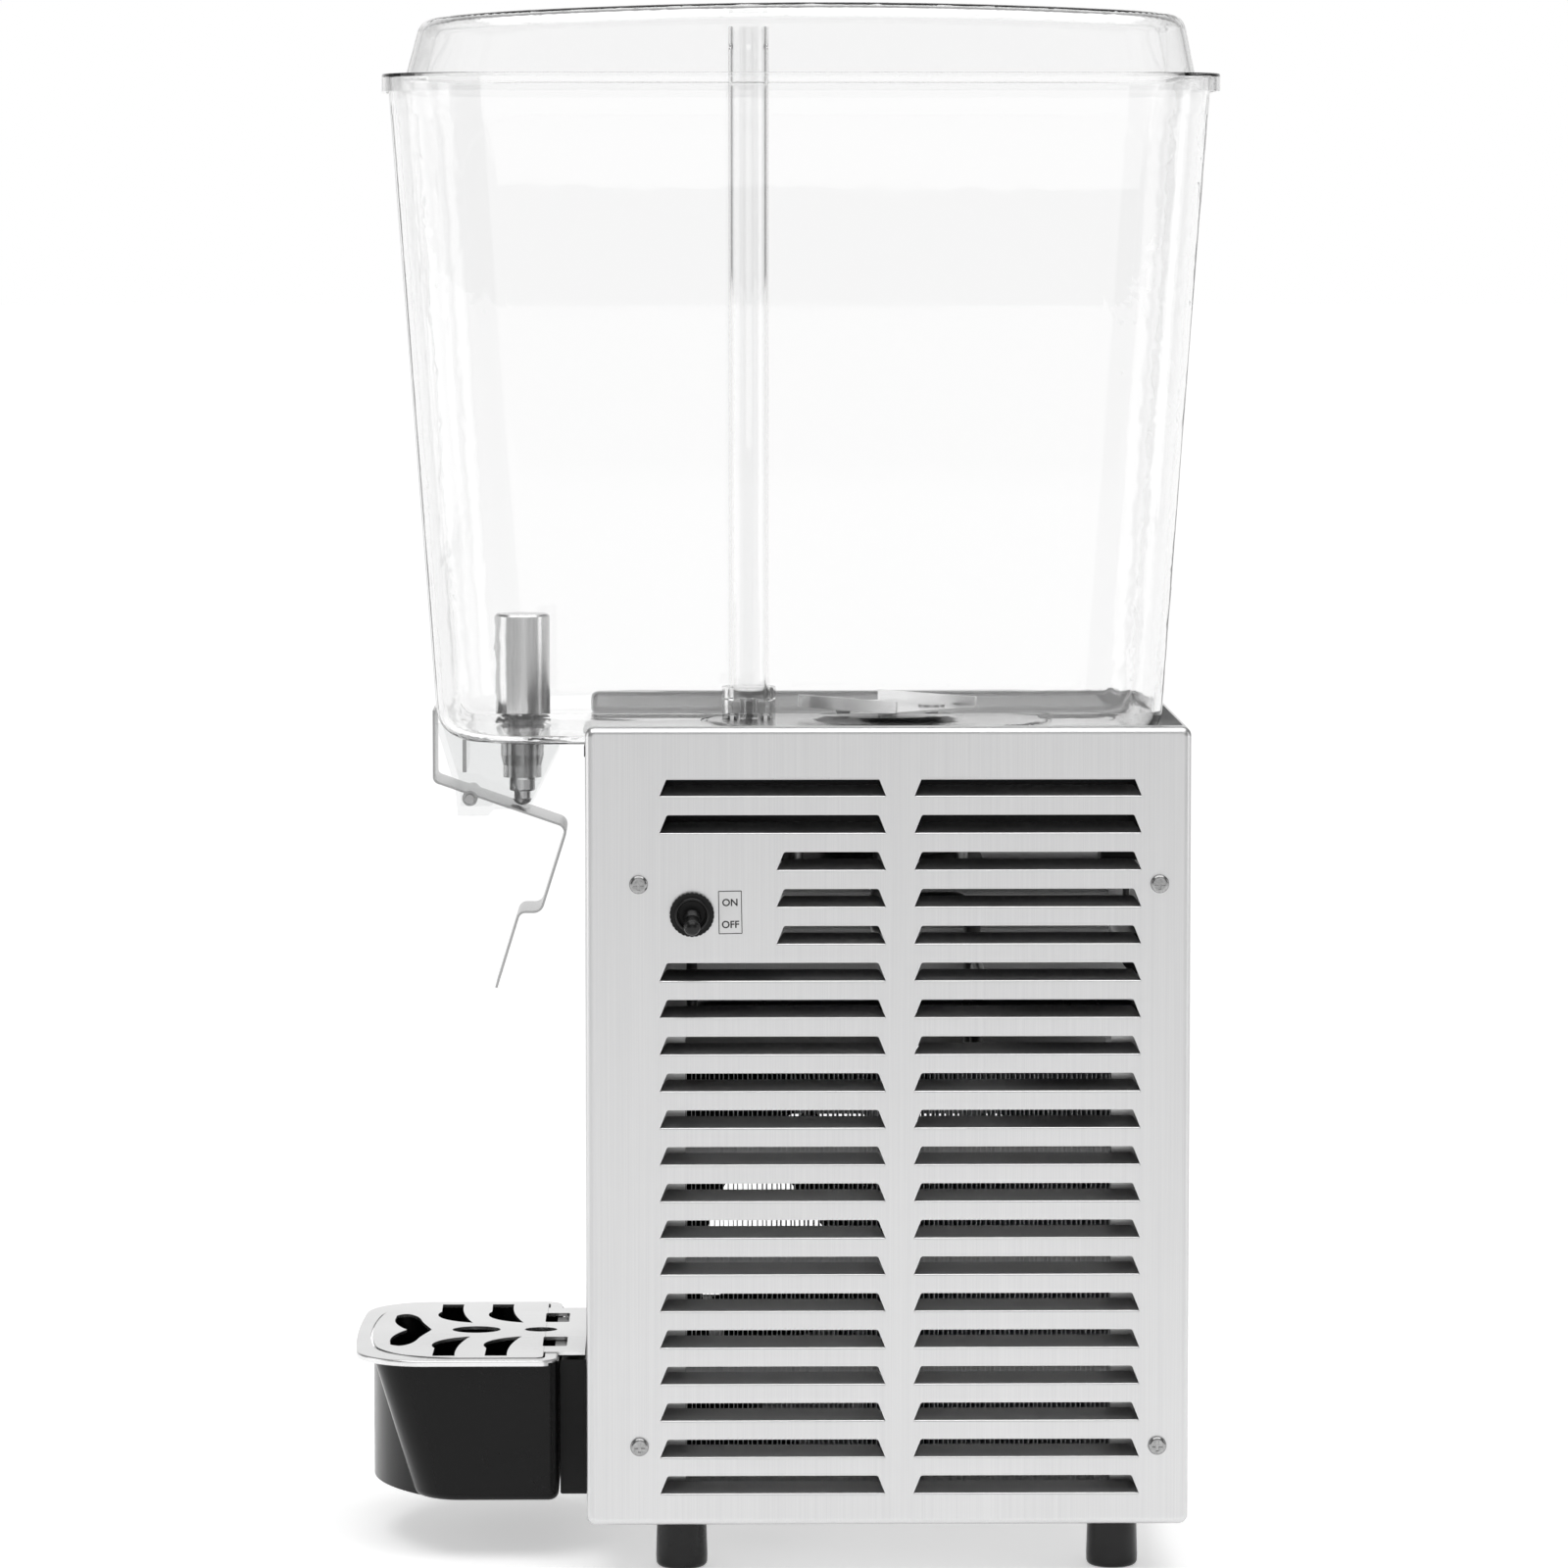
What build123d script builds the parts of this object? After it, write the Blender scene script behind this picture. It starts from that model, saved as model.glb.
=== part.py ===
from build123d import *
from math import cos, radians, sin
import os

# Refrigerated single-bowl fountain drink dispenser: clear bowl and lid over a louvred steel
# cabinet, with a weighted tap, a push lever, a spray tube, a stirring paddle and a drip tray.
# Millimetres. Origin on the floor at the centre of the four feet, +Z up, the tap faces -Y,
# and the switch is on the +X side.

os.makedirs("parts", exist_ok=True)

# ---- driving dimensions: cabinet ----
HALF_WIDTH = 115.0
FRONT = -138.0
BACK = 128.0
BASE_Z = 23.0
TOP_Z = 377.0
DECK_Z = 366.0
SHEET = 1.0
FLANGE = 10.0
PANEL_CORNER = 4.0
PANEL_BEND = 3.4
MID_Y = (FRONT + BACK) / 2
MID_Z = (BASE_Z + TOP_Z) / 2
GAP = 0.1                       # assembly gap between sheet parts
INNER_X = HALF_WIDTH - SHEET - GAP
FRONT_Y = FRONT + SHEET + GAP    # outer face of the front panel, behind the side flanges
BACK_Y = BACK - SHEET - GAP
PAN_Z = BASE_Z + SHEET + GAP
PAN_SHEET = 1.2
PAN_TOP = PAN_Z + PAN_SHEET
FRONT_RETURN = 30.0             # how far the front panel wraps along the sides
REAR_RETURN = 19.0              # the same for the rear panel, short of the louvres
RETURN_TOP_Z = 352.0            # their sides stop below the deck's own folded edges
END_PANEL_Z = 27.2

# ---- louvres ----
LOUVRE_ROWS = 20
LOUVRE_PITCH = 16.29
LOUVRE_HEIGHT = 8.7
LOUVRE_BOTTOM_Z = 36.6
LOUVRE_END_SLOPE = 3.5
LOUVRE_CORNER = 1.3
LOUVRE_TILT = 62.0              # flap angle from the panel
COLUMN_FRONT_Y = (-105.7, -5.8)
COLUMN_BACK_Y = (6.2, 106.4)
SHORT_COLUMN_Y = (-54.3, -5.8)  # beside the switch
SHORT_ROWS = (15, 16, 17)       # counted from the bottom

# ---- fasteners and feet ----
PANEL_SCREW_Y = (-114.6, 114.2)
PANEL_SCREW_Z = (58.5, 308.0)
SCREW_HEAD_R = 4.1
SCREW_HOLE_R = 2.2
SCREW_SHANK_R = 1.85
FOOT_X = 88.0
FOOT_Y = 96.0
FOOT_R = 11.5

# ---- bowl, lid and what stands in the bowl ----
BOWL_FLOOR_Z = 369.5
BOWL_UNDER_Z = 366.4
BOWL_RIM_Z = 661.0
BOWL_TOP = (97.5, -227.2, 138.5)      # half width, front, back of the outside at the rim
BOWL_BOTTOM = (88.0, -205.9, 118.0)   # the same at the underside
BOWL_WALL = 3.1
LEDGE_Z = 645.0
SKIRT = (101.5, -229.7, 142.6)
SKIRT_Z = (655.0, 662.8)
DOME_BASE = (90.5, -219.3, 132.4)
DOME_TOP = (84.0, -210.8, 126.6)       # where the sides would be at the crown's height
DOME_TOP_Z = 693.8
LID_WALL = 2.2
TUBE_Y = -65.0
TUBE_R = 9.0
TUBE_TOP_Z = 685.0
AGITATOR_Y = -2.0
PLATE_TOP_Z = 370.5
PLATE_Y = -7.0
PLATE_SIZE = (155.0, 120.0)     # length along Y, width along X

# ---- tap ----
TAP_Y = -168.0
WEIGHT_R = 12.75
WEIGHT_Z = (374.3, 420.3)
STEM_R = 5.85
STEM_TIP_Z = 333.0
SPOUT_BORE_R = 6.6
PIVOT_Y = -191.2
PIVOT_Z = 338.0
PIVOT_R = 2.0
LEVER_HALF = 22.0
LEVER_SHEET = 1.0
CHEEK_X = 24.0
CHEEK_T = 2.2

# ---- drip tray ----
TRAY_HALF = 78.0
TRAY_NOSE_Y = -236.7
TRAY_NOSE_R = 92.4
TRAY_BACK_Y = -151.0
TRAY_Z = (27.0, 90.0)
TRAY_WALL = 2.2
RIM_HALF = 82.0
RIM_FRONT_Y = -244.0
RIM_BACK_Y = -151.6
RIM_BAND = 5.5
TAB_HALF = 61.0

# ---- condenser and fan ----
FIN_X = (64.0, 100.0)
FIN_Y = (-94.0, 94.0)
FIN_Z = (31.0, 222.0)
COIL_X = (73.0, 91.0)
COIL_PITCH = 24.7
COIL_TOP_Z = 210.1
COIL_ROWS = 8
COIL_R = 4.75
FAN_Z = 126.0
FAN_R = 84.0
COMPRESSOR_XY = (-45.0, 40.0)
COMPRESSOR_R = 55.0

# ---- switch ----
SWITCH_Y = -91.2
SWITCH_Z = 294.9
TOGGLE_PIVOT_X = 117.0
TOGGLE_ANGLE = 18.0
SWITCH_BUSH_R = 6.0


def obround(length_y, width_x):
    """A slot-shaped outline, long in Y."""
    with BuildSketch() as outline:
        SlotOverall(length_y, width_x, rotation=90)
    return outline.sketch


def slab(outline, bottom, top):
    """An outline drawn in XY, raised into a plate between two heights."""
    with BuildPart() as plate:
        with BuildSketch(Plane.XY.offset(bottom)):
            add(outline)
        extrude(amount=top - bottom)
    return plate.part


# ================= cabinet =================

def louvre_outline(bottom_width):
    """A trapezium standing on its hinge edge, with rounded upper corners."""
    half = bottom_width / 2
    with BuildSketch() as outline:
        with BuildLine():
            Polyline(
                (-half, 0),
                (half, 0),
                (half - LOUVRE_END_SLOPE, LOUVRE_HEIGHT),
                (-half + LOUVRE_END_SLOPE, LOUVRE_HEIGHT),
                close=True,
            )
        make_face()
        fillet(outline.vertices().group_by(Axis.Y)[-1], LOUVRE_CORNER)
    return outline.sketch


def louvre_flap(bottom_width):
    """The flap of one louvre, bent inwards about its lower edge, with its rounded bend."""
    tilt = radians(LOUVRE_TILT)
    flap_plane = Plane(origin=(0, 0, 0), x_dir=(0, 1, 0), z_dir=(cos(tilt), 0, sin(tilt)))
    with BuildPart() as flap:
        with BuildSketch(flap_plane):
            add(louvre_outline(bottom_width))
        extrude(amount=SHEET)
        Cylinder(SHEET, bottom_width, rotation=(90, 0, 0))
    return flap.part


def louvre_places(short_rows):
    """Centre, height and width of every louvre of one side panel."""
    places = []
    for row in range(LOUVRE_ROWS):
        z = LOUVRE_BOTTOM_Z + row * LOUVRE_PITCH
        front_column = SHORT_COLUMN_Y if row in short_rows else COLUMN_FRONT_Y
        for start, end in (front_column, COLUMN_BACK_Y):
            places.append(((start + end) / 2, z, round(end - start, 3)))
    return places


def side_panel(short_rows, switch_hole):
    """The +X side: a shallow folded pan with rounded edges, two columns of louvres and holes."""
    places = louvre_places(short_rows)
    with BuildPart() as panel:
        with BuildSketch(Plane.YZ.offset(HALF_WIDTH - FLANGE)):
            with Locations((MID_Y, MID_Z)):
                RectangleRounded(BACK - FRONT, TOP_Z - BASE_Z, PANEL_CORNER)
        extrude(amount=FLANGE)
        fillet(panel.faces().sort_by(Axis.X)[-1].edges(), PANEL_BEND)
        offset(amount=-SHEET, openings=panel.faces().sort_by(Axis.X)[0])
        with BuildSketch(Plane.YZ.offset(HALF_WIDTH - 2 * SHEET)):
            for y, z, width in places:
                with Locations((y, z)):
                    add(louvre_outline(width))
            with Locations([(y, z) for y in PANEL_SCREW_Y for z in PANEL_SCREW_Z]):
                Circle(SCREW_HOLE_R)
            if switch_hole:
                with Locations((SWITCH_Y, SWITCH_Z)):
                    Circle(SWITCH_BUSH_R + GAP)
        extrude(amount=3 * SHEET, mode=Mode.SUBTRACT)
        for width in sorted({place[2] for place in places}):
            spots = [(HALF_WIDTH - SHEET, y, z) for y, z, w in places if w == width]
            with Locations(spots):
                add(louvre_flap(width))
    return panel.part


with BuildPart() as side_panel_right:
    add(side_panel(SHORT_ROWS, True))
side_panel_right.part.label = "side_panel_right"
export_step(side_panel_right.part, "parts/side_panel_right.step")

with BuildPart() as side_panel_left:
    add(side_panel((), False).mirror(Plane.YZ))
side_panel_left.part.label = "side_panel_left"
export_step(side_panel_left.part, "parts/side_panel_left.step")

# Base pan: a tray of sheet that carries the compressor, with a hole over each foot.
PAN_X = INNER_X - 1.8
PAN_LIP = 10.0
PAN_INSET = 2.3                 # clear of the side panels' rounded lower corners
with BuildPart() as base_pan:
    with Locations((0, MID_Y, PAN_Z + PAN_LIP / 2)):
        Box(2 * PAN_X, BACK_Y - FRONT_Y - 2 * PAN_INSET, PAN_LIP)
    fillet(base_pan.edges().filter_by(Axis.Z), 3)
    offset(amount=-PAN_SHEET, openings=base_pan.faces().sort_by(Axis.Z)[-1])
    with BuildSketch(Plane.XY.offset(PAN_Z - 1)):
        with Locations([(x, y) for x in (-FOOT_X, FOOT_X) for y in (-FOOT_Y, FOOT_Y)]):
            Circle(2.7)
        with GridLocations(60, 12, 2, 3):
            with Locations((0, -60)):
                SlotOverall(36, 5)
    extrude(amount=4, mode=Mode.SUBTRACT)
base_pan.part.label = "base_pan"
export_step(base_pan.part, "parts/base_pan.step")


def end_panel(top_z, top_flange, return_depth, screw_depth):
    """A folded sheet across the front at y = 0, wrapping back along both sides."""
    with BuildPart() as panel:
        with BuildSketch(Plane.XY.offset(END_PANEL_Z)):
            with BuildLine():
                FilletPolyline(
                    (-INNER_X, return_depth),
                    (-INNER_X, 0),
                    (INNER_X, 0),
                    (INNER_X, return_depth),
                    radius=3,
                )
                offset(amount=SHEET, side=Side.LEFT)
            make_face()
        extrude(amount=top_z - END_PANEL_Z)
        for side in (-1, 1):
            with Locations((side * INNER_X, return_depth / 2, RETURN_TOP_Z + 20)):
                Box(4 * SHEET, return_depth + 4, 40, mode=Mode.SUBTRACT)
        if top_flange:
            with Locations((0, 7, top_z - SHEET / 2)):
                Box(2 * INNER_X - 8, 12, SHEET)
        for z in PANEL_SCREW_Z:
            with Locations((0, screw_depth, z)):
                Cylinder(
                    SCREW_SHANK_R + 0.05, 3 * INNER_X, rotation=(0, 90, 0), mode=Mode.SUBTRACT
                )
    return panel.part


with BuildPart() as front_panel:
    with Locations((0, FRONT_Y, 0)):
        add(end_panel(DECK_Z - SHEET - GAP, True, FRONT_RETURN, PANEL_SCREW_Y[0] - FRONT_Y))
    with BuildSketch(Plane.XZ.offset(-FRONT_Y - 3)):
        with Locations([(x, z) for x in (-40, 40) for z in (45, 75)]):
            Circle(1.8)
    extrude(amount=6, mode=Mode.SUBTRACT)
front_panel.part.label = "front_panel"
export_step(front_panel.part, "parts/front_panel.step")

# Rear panel: rises to the top of the side panels, with vent slots and the hole for the gland.
GLAND_XZ = (-60.0, 62.0)
GLAND_HOLE_R = 8.0
VENT_ROWS = 12
with BuildPart() as rear_panel:
    with Locations(Location((0, BACK_Y, 0), (0, 0, 180))):
        add(end_panel(TOP_Z - SHEET - GAP, False, REAR_RETURN, BACK_Y - PANEL_SCREW_Y[1]))
    for side in (-1, 1):
        with Locations((side * HALF_WIDTH, BACK_Y, TOP_Z)):
            Box(2 * FLANGE + 0.4, 6, 7.2, mode=Mode.SUBTRACT)
    with BuildSketch(Plane.XZ.offset(-BACK_Y - 3)):
        with Locations((0, 250)):
            with GridLocations(84, 11, 2, VENT_ROWS):
                SlotOverall(70, 5)
        with Locations(GLAND_XZ):
            Circle(GLAND_HOLE_R)
    extrude(amount=6, mode=Mode.SUBTRACT)
rear_panel.part.label = "rear_panel"
export_step(rear_panel.part, "parts/rear_panel.step")

# Deck: the recessed top sheet that the bowl stands on, folded down at both sides.
DECK_HOLE = (PLATE_SIZE[0] + 2.0, PLATE_SIZE[1] + 2.0)
with BuildPart() as deck_plate:
    with BuildSketch(Plane.XY.offset(DECK_Z - SHEET)):
        with Locations((0, (FRONT_Y + BACK_Y - SHEET - GAP) / 2)):
            RectangleRounded(2 * INNER_X, BACK_Y - SHEET - GAP - FRONT_Y, 3)
        with Locations((0, PLATE_Y)):
            add(obround(*DECK_HOLE), mode=Mode.SUBTRACT)
    extrude(amount=SHEET)
    for side in (-1, 1):
        with Locations((side * (INNER_X - SHEET / 2), MID_Y, DECK_Z - 6)):
            Box(SHEET, BACK - FRONT - 20, 12)
deck_plate.part.label = "deck_plate"
export_step(deck_plate.part, "parts/deck_plate.step")

# Feet: rubber, slightly wider below, with a blind bore for the fixing screw.
FOOT_SPOTS = [(x, y) for x in (-FOOT_X, FOOT_X) for y in (-FOOT_Y, FOOT_Y)]
FOOT_BORE_R = 2.6


def foot():
    with BuildPart() as body:
        with BuildSketch(Plane.XZ) as profile:
            with BuildLine():
                Polyline(
                    (FOOT_BORE_R, PAN_Z),
                    (FOOT_R - 0.6, PAN_Z),
                    (FOOT_R, 5),
                    (FOOT_R - 0.2, 0),
                    (0, 0),
                    (0, 8),
                    (FOOT_BORE_R, 8),
                    close=True,
                )
            make_face()
            fillet(profile.vertices().filter_by(lambda v: v.X > 11.2 and v.Y < 1), 2.5)
        revolve(axis=Axis.Z)
    return body.part


def machine_screw(shank_r, length, head_r, head_h):
    """A cross-recessed pan head on z = 0 with its shank below."""
    with BuildPart() as screw:
        with Locations((0, 0, head_h / 2)):
            Cylinder(head_r, head_h)
        fillet(screw.edges().sort_by(Axis.Z)[-1], head_h * 0.6)
        with Locations((0, 0, -length / 2)):
            Cylinder(shank_r, length)
        with BuildSketch(Plane.XY.offset(head_h)):
            Rectangle(head_r * 1.15, head_r * 0.3)
            Rectangle(head_r * 0.3, head_r * 1.15)
        extrude(amount=-head_h * 0.55, mode=Mode.SUBTRACT)
    return screw.part


with BuildPart() as feet:
    with Locations([(x, y, 0) for x, y in FOOT_SPOTS]):
        add(foot())
feet.part.label = "feet"
export_step(feet.part, "parts/feet.step")

with BuildPart() as foot_screws:
    with Locations([(x, y, PAN_TOP) for x, y in FOOT_SPOTS]):
        add(machine_screw(2.5, 16, 4.6, 3.0))
foot_screws.part.label = "foot_screws"
export_step(foot_screws.part, "parts/foot_screws.step")

# Panel screws: four through each side panel into the returns of the end panels.
PANEL_SCREW_SPOTS = [
    Location((side * HALF_WIDTH, y, z), (0, side * 90, 0))
    for side in (-1, 1)
    for y in PANEL_SCREW_Y
    for z in PANEL_SCREW_Z
]
with BuildPart() as panel_screws:
    with Locations(PANEL_SCREW_SPOTS):
        add(machine_screw(SCREW_SHANK_R, 7, SCREW_HEAD_R, 2.3))
panel_screws.part.label = "panel_screws"
export_step(panel_screws.part, "parts/panel_screws.step")

# Bowl catch: a black plastic hook on the front panel just under the bowl.
with BuildPart() as bowl_catch:
    for bottom, top in ((362.4, 364.6), (356.5, 361.2)):
        with Locations((0, FRONT_Y - 1.4, (bottom + top) / 2)):
            Box(40, 2.8, top - bottom)
    with Locations((0, FRONT_Y - 0.5, 360.5)):
        Box(40, 1.0, 8.2)
bowl_catch.part.label = "bowl_catch"
export_step(bowl_catch.part, "parts/bowl_catch.step")

# Corner plug: a small rubber stop in the rear top corner.
with BuildPart() as corner_plug:
    with Locations((-HALF_WIDTH + 5.2, BACK + 0.8, TOP_Z - 2.2)):
        Box(6, 1.6, 4.4)
    fillet(corner_plug.faces().sort_by(Axis.Y)[-1].edges(), 0.6)
corner_plug.part.label = "corner_plug"
export_step(corner_plug.part, "parts/corner_plug.step")

# Cable gland in the rear panel: flange, threaded sleeve and lock nut.
with BuildPart() as cord_gland:
    with BuildSketch(Plane.XZ.offset(-BACK_Y)):
        with Locations(GLAND_XZ):
            Circle(11)
    extrude(amount=-4)
    with BuildSketch(Plane.XZ.offset(-BACK_Y - 4)):
        with Locations(GLAND_XZ):
            Circle(8.5)
    extrude(amount=-8, taper=8)
    with BuildSketch(Plane.XZ.offset(-BACK_Y)):
        with Locations(GLAND_XZ):
            Circle(GLAND_HOLE_R - GAP)
    extrude(amount=9)
    with BuildSketch(Plane.XZ.offset(-BACK_Y + SHEET + GAP)):
        with Locations(GLAND_XZ):
            RegularPolygon(11, 6)
    extrude(amount=4)
    with BuildSketch(Plane.XZ.offset(-BACK_Y - 20)):
        with Locations(GLAND_XZ):
            Circle(4)
    extrude(amount=40, mode=Mode.SUBTRACT)
cord_gland.part.label = "cord_gland"
export_step(cord_gland.part, "parts/cord_gland.step")


# ================= cooling: what chills the bowl =================

# Evaporator plate: a shallow pressed dish that stands up through deck and bowl floor.
PLATE_SHEET = 1.2
PLATE_SKIRT_Z = 356.0
STEP_R = (35.5, 28.5)
STEP_H = 2.6
with BuildPart() as evaporator_plate:
    with BuildSketch(Plane.XY.offset(PLATE_SKIRT_Z)):
        with Locations((0, PLATE_Y)):
            add(obround(*PLATE_SIZE))
    extrude(amount=PLATE_TOP_Z - PLATE_SKIRT_Z)
    fillet(evaporator_plate.faces().sort_by(Axis.Z)[-1].edges(), 2)
    offset(amount=-PLATE_SHEET, openings=evaporator_plate.faces().sort_by(Axis.Z)[0])
    with Locations((0, AGITATOR_Y, PLATE_TOP_Z + STEP_H / 2)):
        Cone(*STEP_R, STEP_H)
evaporator_plate.part.label = "evaporator_plate"
export_step(evaporator_plate.part, "parts/evaporator_plate.step")

# Gasket between the evaporator skirt and the hole in the bowl floor.
GASKET_T = 2.0
BOWL_HOLE = (PLATE_SIZE[0] + 5.0, PLATE_SIZE[1] + 5.0)
with BuildPart() as bowl_gasket:
    with BuildSketch(Plane.XY.offset(DECK_Z)):
        with Locations((0, PLATE_Y)):
            add(obround(PLATE_SIZE[0] + 2 * GASKET_T, PLATE_SIZE[1] + 2 * GASKET_T))
            add(obround(PLATE_SIZE[0] + 0.1, PLATE_SIZE[1] + 0.1), mode=Mode.SUBTRACT)
    extrude(amount=3.2)
bowl_gasket.part.label = "bowl_gasket"
export_step(bowl_gasket.part, "parts/bowl_gasket.step")

# Insulation under the deck, around the evaporator pocket.
with BuildPart() as foam_insulation:
    with BuildSketch(Plane.XY.offset(330)):
        with Locations((0, -5)):
            RectangleRounded(200, 228, 10)
        with Locations((0, PLATE_Y)):
            add(obround(*DECK_HOLE), mode=Mode.SUBTRACT)
    extrude(amount=DECK_Z - SHEET - 330)
foam_insulation.part.label = "foam_insulation"
export_step(foam_insulation.part, "parts/foam_insulation.step")


def pipe(points, pipe_r, bend_r):
    """A round pipe along straight runs joined by bends."""
    with BuildPart() as tube:
        with BuildLine() as route:
            FilletPolyline(*points, radius=bend_r)
        start = route.line @ 0
        with BuildSketch(Plane(origin=start, z_dir=route.line % 0)):
            Circle(pipe_r)
        sweep(path=route.line)
    return tube.part


# Evaporator coil: two turns under the plate with the two tails that leave downwards.
EVAP_R = 3.0
EVAP_HALF = (54.5, 72.0)        # centre line, across X and along Y
EVAP_Z = (357.5, 365.0)
with BuildPart() as evaporator_coil:
    for level in EVAP_Z:
        with BuildLine() as turn:
            add(obround(2 * EVAP_HALF[1], 2 * EVAP_HALF[0]).wire().moved(Location((0, PLATE_Y, level))))
        with BuildSketch(Plane(origin=(EVAP_HALF[0], PLATE_Y, level), z_dir=(0, 1, 0))):
            Circle(EVAP_R)
        sweep(path=turn.wire())
    for side in (-1, 1):
        with Locations((side * EVAP_HALF[0], PLATE_Y, (EVAP_Z[1] + 300) / 2)):
            Cylinder(EVAP_R, EVAP_Z[1] - 300)
evaporator_coil.part.label = "evaporator_coil"
export_step(evaporator_coil.part, "parts/evaporator_coil.step")

# Compressor: a welded can on a mounting plate, with a terminal cover.
CAN_Z = (46.0, 172.0)
COMP_PLATE_Z = 40.0
GROMMET_SPOTS = [
    (COMPRESSOR_XY[0] + dx, COMPRESSOR_XY[1] + dy) for dx in (-46, 46) for dy in (-40, 40)
]
with BuildPart() as compressor_shell:
    with Locations((*COMPRESSOR_XY, (CAN_Z[0] + CAN_Z[1]) / 2)):
        Cylinder(COMPRESSOR_R, CAN_Z[1] - CAN_Z[0])
    fillet(compressor_shell.edges().filter_by(GeomType.CIRCLE), 24)
    with Locations((*COMPRESSOR_XY, 112)):
        Cylinder(COMPRESSOR_R + 1.8, 7)
    with BuildSketch(Plane.XY.offset(COMP_PLATE_Z)):
        with Locations(COMPRESSOR_XY):
            RectangleRounded(118, 112, 10)
        with Locations(GROMMET_SPOTS):
            Circle(5, mode=Mode.SUBTRACT)
    extrude(amount=2.5)
    with Locations((*COMPRESSOR_XY, 45)):
        Cylinder(32, 8)
    with Locations((-25, 40, 171), (-70, 40, 167)):
        Cylinder(4.5, 12)
compressor_shell.part.label = "compressor_shell"
export_step(compressor_shell.part, "parts/compressor_shell.step")

with BuildPart() as compressor_bushes:
    with Locations([(x, y, 0) for x, y in GROMMET_SPOTS]):
        with Locations((0, 0, (PAN_TOP + COMP_PLATE_Z) / 2)):
            Cylinder(9, COMP_PLATE_Z - PAN_TOP)
        with Locations((0, 0, COMP_PLATE_Z + 2.5)):
            Cylinder(4.8, 5)
        with Locations((0, 0, COMP_PLATE_Z + 4.1)):
            Cylinder(7, 3)
compressor_bushes.part.label = "compressor_bushes"
export_step(compressor_bushes.part, "parts/compressor_bushes.step")

with BuildPart() as terminal_cover:
    with Locations((COMPRESSOR_XY[0], COMPRESSOR_XY[1] - COMPRESSOR_R - 8.6, 86)):
        Box(34, 16, 42)
    fillet(terminal_cover.faces().sort_by(Axis.Y)[0].edges(), 3)
terminal_cover.part.label = "terminal_cover"
export_step(terminal_cover.part, "parts/terminal_cover.step")

# Condenser: fin pack, hairpin tubes in two columns, and folded end plates.
COIL_Z = [COIL_TOP_Z - COIL_PITCH * row for row in range(COIL_ROWS)]
COIL_SPOTS = [(x, z) for x in COIL_X for z in COIL_Z]
with BuildPart() as condenser_fins:
    with BuildSketch(Plane.XZ.offset(-FIN_Y[1])):
        with Locations((sum(FIN_X) / 2, sum(FIN_Z) / 2)):
            Rectangle(FIN_X[1] - FIN_X[0], FIN_Z[1] - FIN_Z[0])
        with Locations(COIL_SPOTS):
            Circle(COIL_R + 0.05, mode=Mode.SUBTRACT)
    extrude(amount=FIN_Y[1] - FIN_Y[0])
condenser_fins.part.label = "condenser_fins"
export_step(condenser_fins.part, "parts/condenser_fins.step")

COIL_REACH = 100.0
with BuildPart() as condenser_tubes:
    with BuildSketch(Plane.XZ.offset(-COIL_REACH)):
        with Locations(COIL_SPOTS):
            Circle(COIL_R)
    extrude(amount=2 * COIL_REACH)
    for x in COIL_X:
        for row in range(COIL_ROWS - 1):
            end = -1 if row % 2 == 0 else 1
            middle = (x, end * COIL_REACH, COIL_Z[row] - COIL_PITCH / 2)
            with BuildSketch(Plane.XZ.offset(-end * COIL_REACH)):
                with Locations((x, COIL_Z[row])):
                    Circle(COIL_R)
            revolve(axis=Axis(middle, (-end, 0, 0)), revolution_arc=180)
condenser_tubes.part.label = "condenser_tubes"
export_step(condenser_tubes.part, "parts/condenser_tubes.step")

END_PLATE_TOP_Z = 240.0
END_FLANGE = 11.0
with BuildPart() as condenser_plates:
    for side in (-1, 1):
        with Locations((82.5, side * (FIN_Y[1] + 0.6), (25.4 + END_PLATE_TOP_Z) / 2)):
            Box(39, 1, END_PLATE_TOP_Z - 25.4)
        for x in (63.5, 101.5):
            flange_y = side * (FIN_Y[1] + 0.1 + END_FLANGE / 2)
            with Locations((x, flange_y, (25.4 + END_PLATE_TOP_Z) / 2)):
                Box(1, END_FLANGE, END_PLATE_TOP_Z - 25.4)
    with BuildSketch(Plane.XZ.offset(-110)):
        with Locations(COIL_SPOTS):
            Circle(COIL_R + 0.05)
        with Locations((96, 232)):
            Circle(1.6)
        with Locations((FOOT_X, PAN_TOP)):
            Rectangle(12, 7.2)
    extrude(amount=220, mode=Mode.SUBTRACT)
condenser_plates.part.label = "condenser_plates"
export_step(condenser_plates.part, "parts/condenser_plates.step")

# Fan: shroud with a ring, four-armed bracket, motor and the turning blades.
SHROUD_X = 61.7
with BuildPart() as fan_shroud:
    with BuildSketch(Plane.YZ.offset(SHROUD_X)):
        with Locations((0, FAN_Z + 0.5)):
            Rectangle(206, 190)
        with Locations((0, FAN_Z)):
            Circle(FAN_R + 3, mode=Mode.SUBTRACT)
    extrude(amount=1.2)
    with BuildSketch(Plane.YZ.offset(SHROUD_X)):
        with Locations((0, FAN_Z)):
            Circle(FAN_R + 4.2)
            Circle(FAN_R + 3, mode=Mode.SUBTRACT)
    extrude(amount=-14)
fan_shroud.part.label = "fan_shroud"
export_step(fan_shroud.part, "parts/fan_shroud.step")

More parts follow.
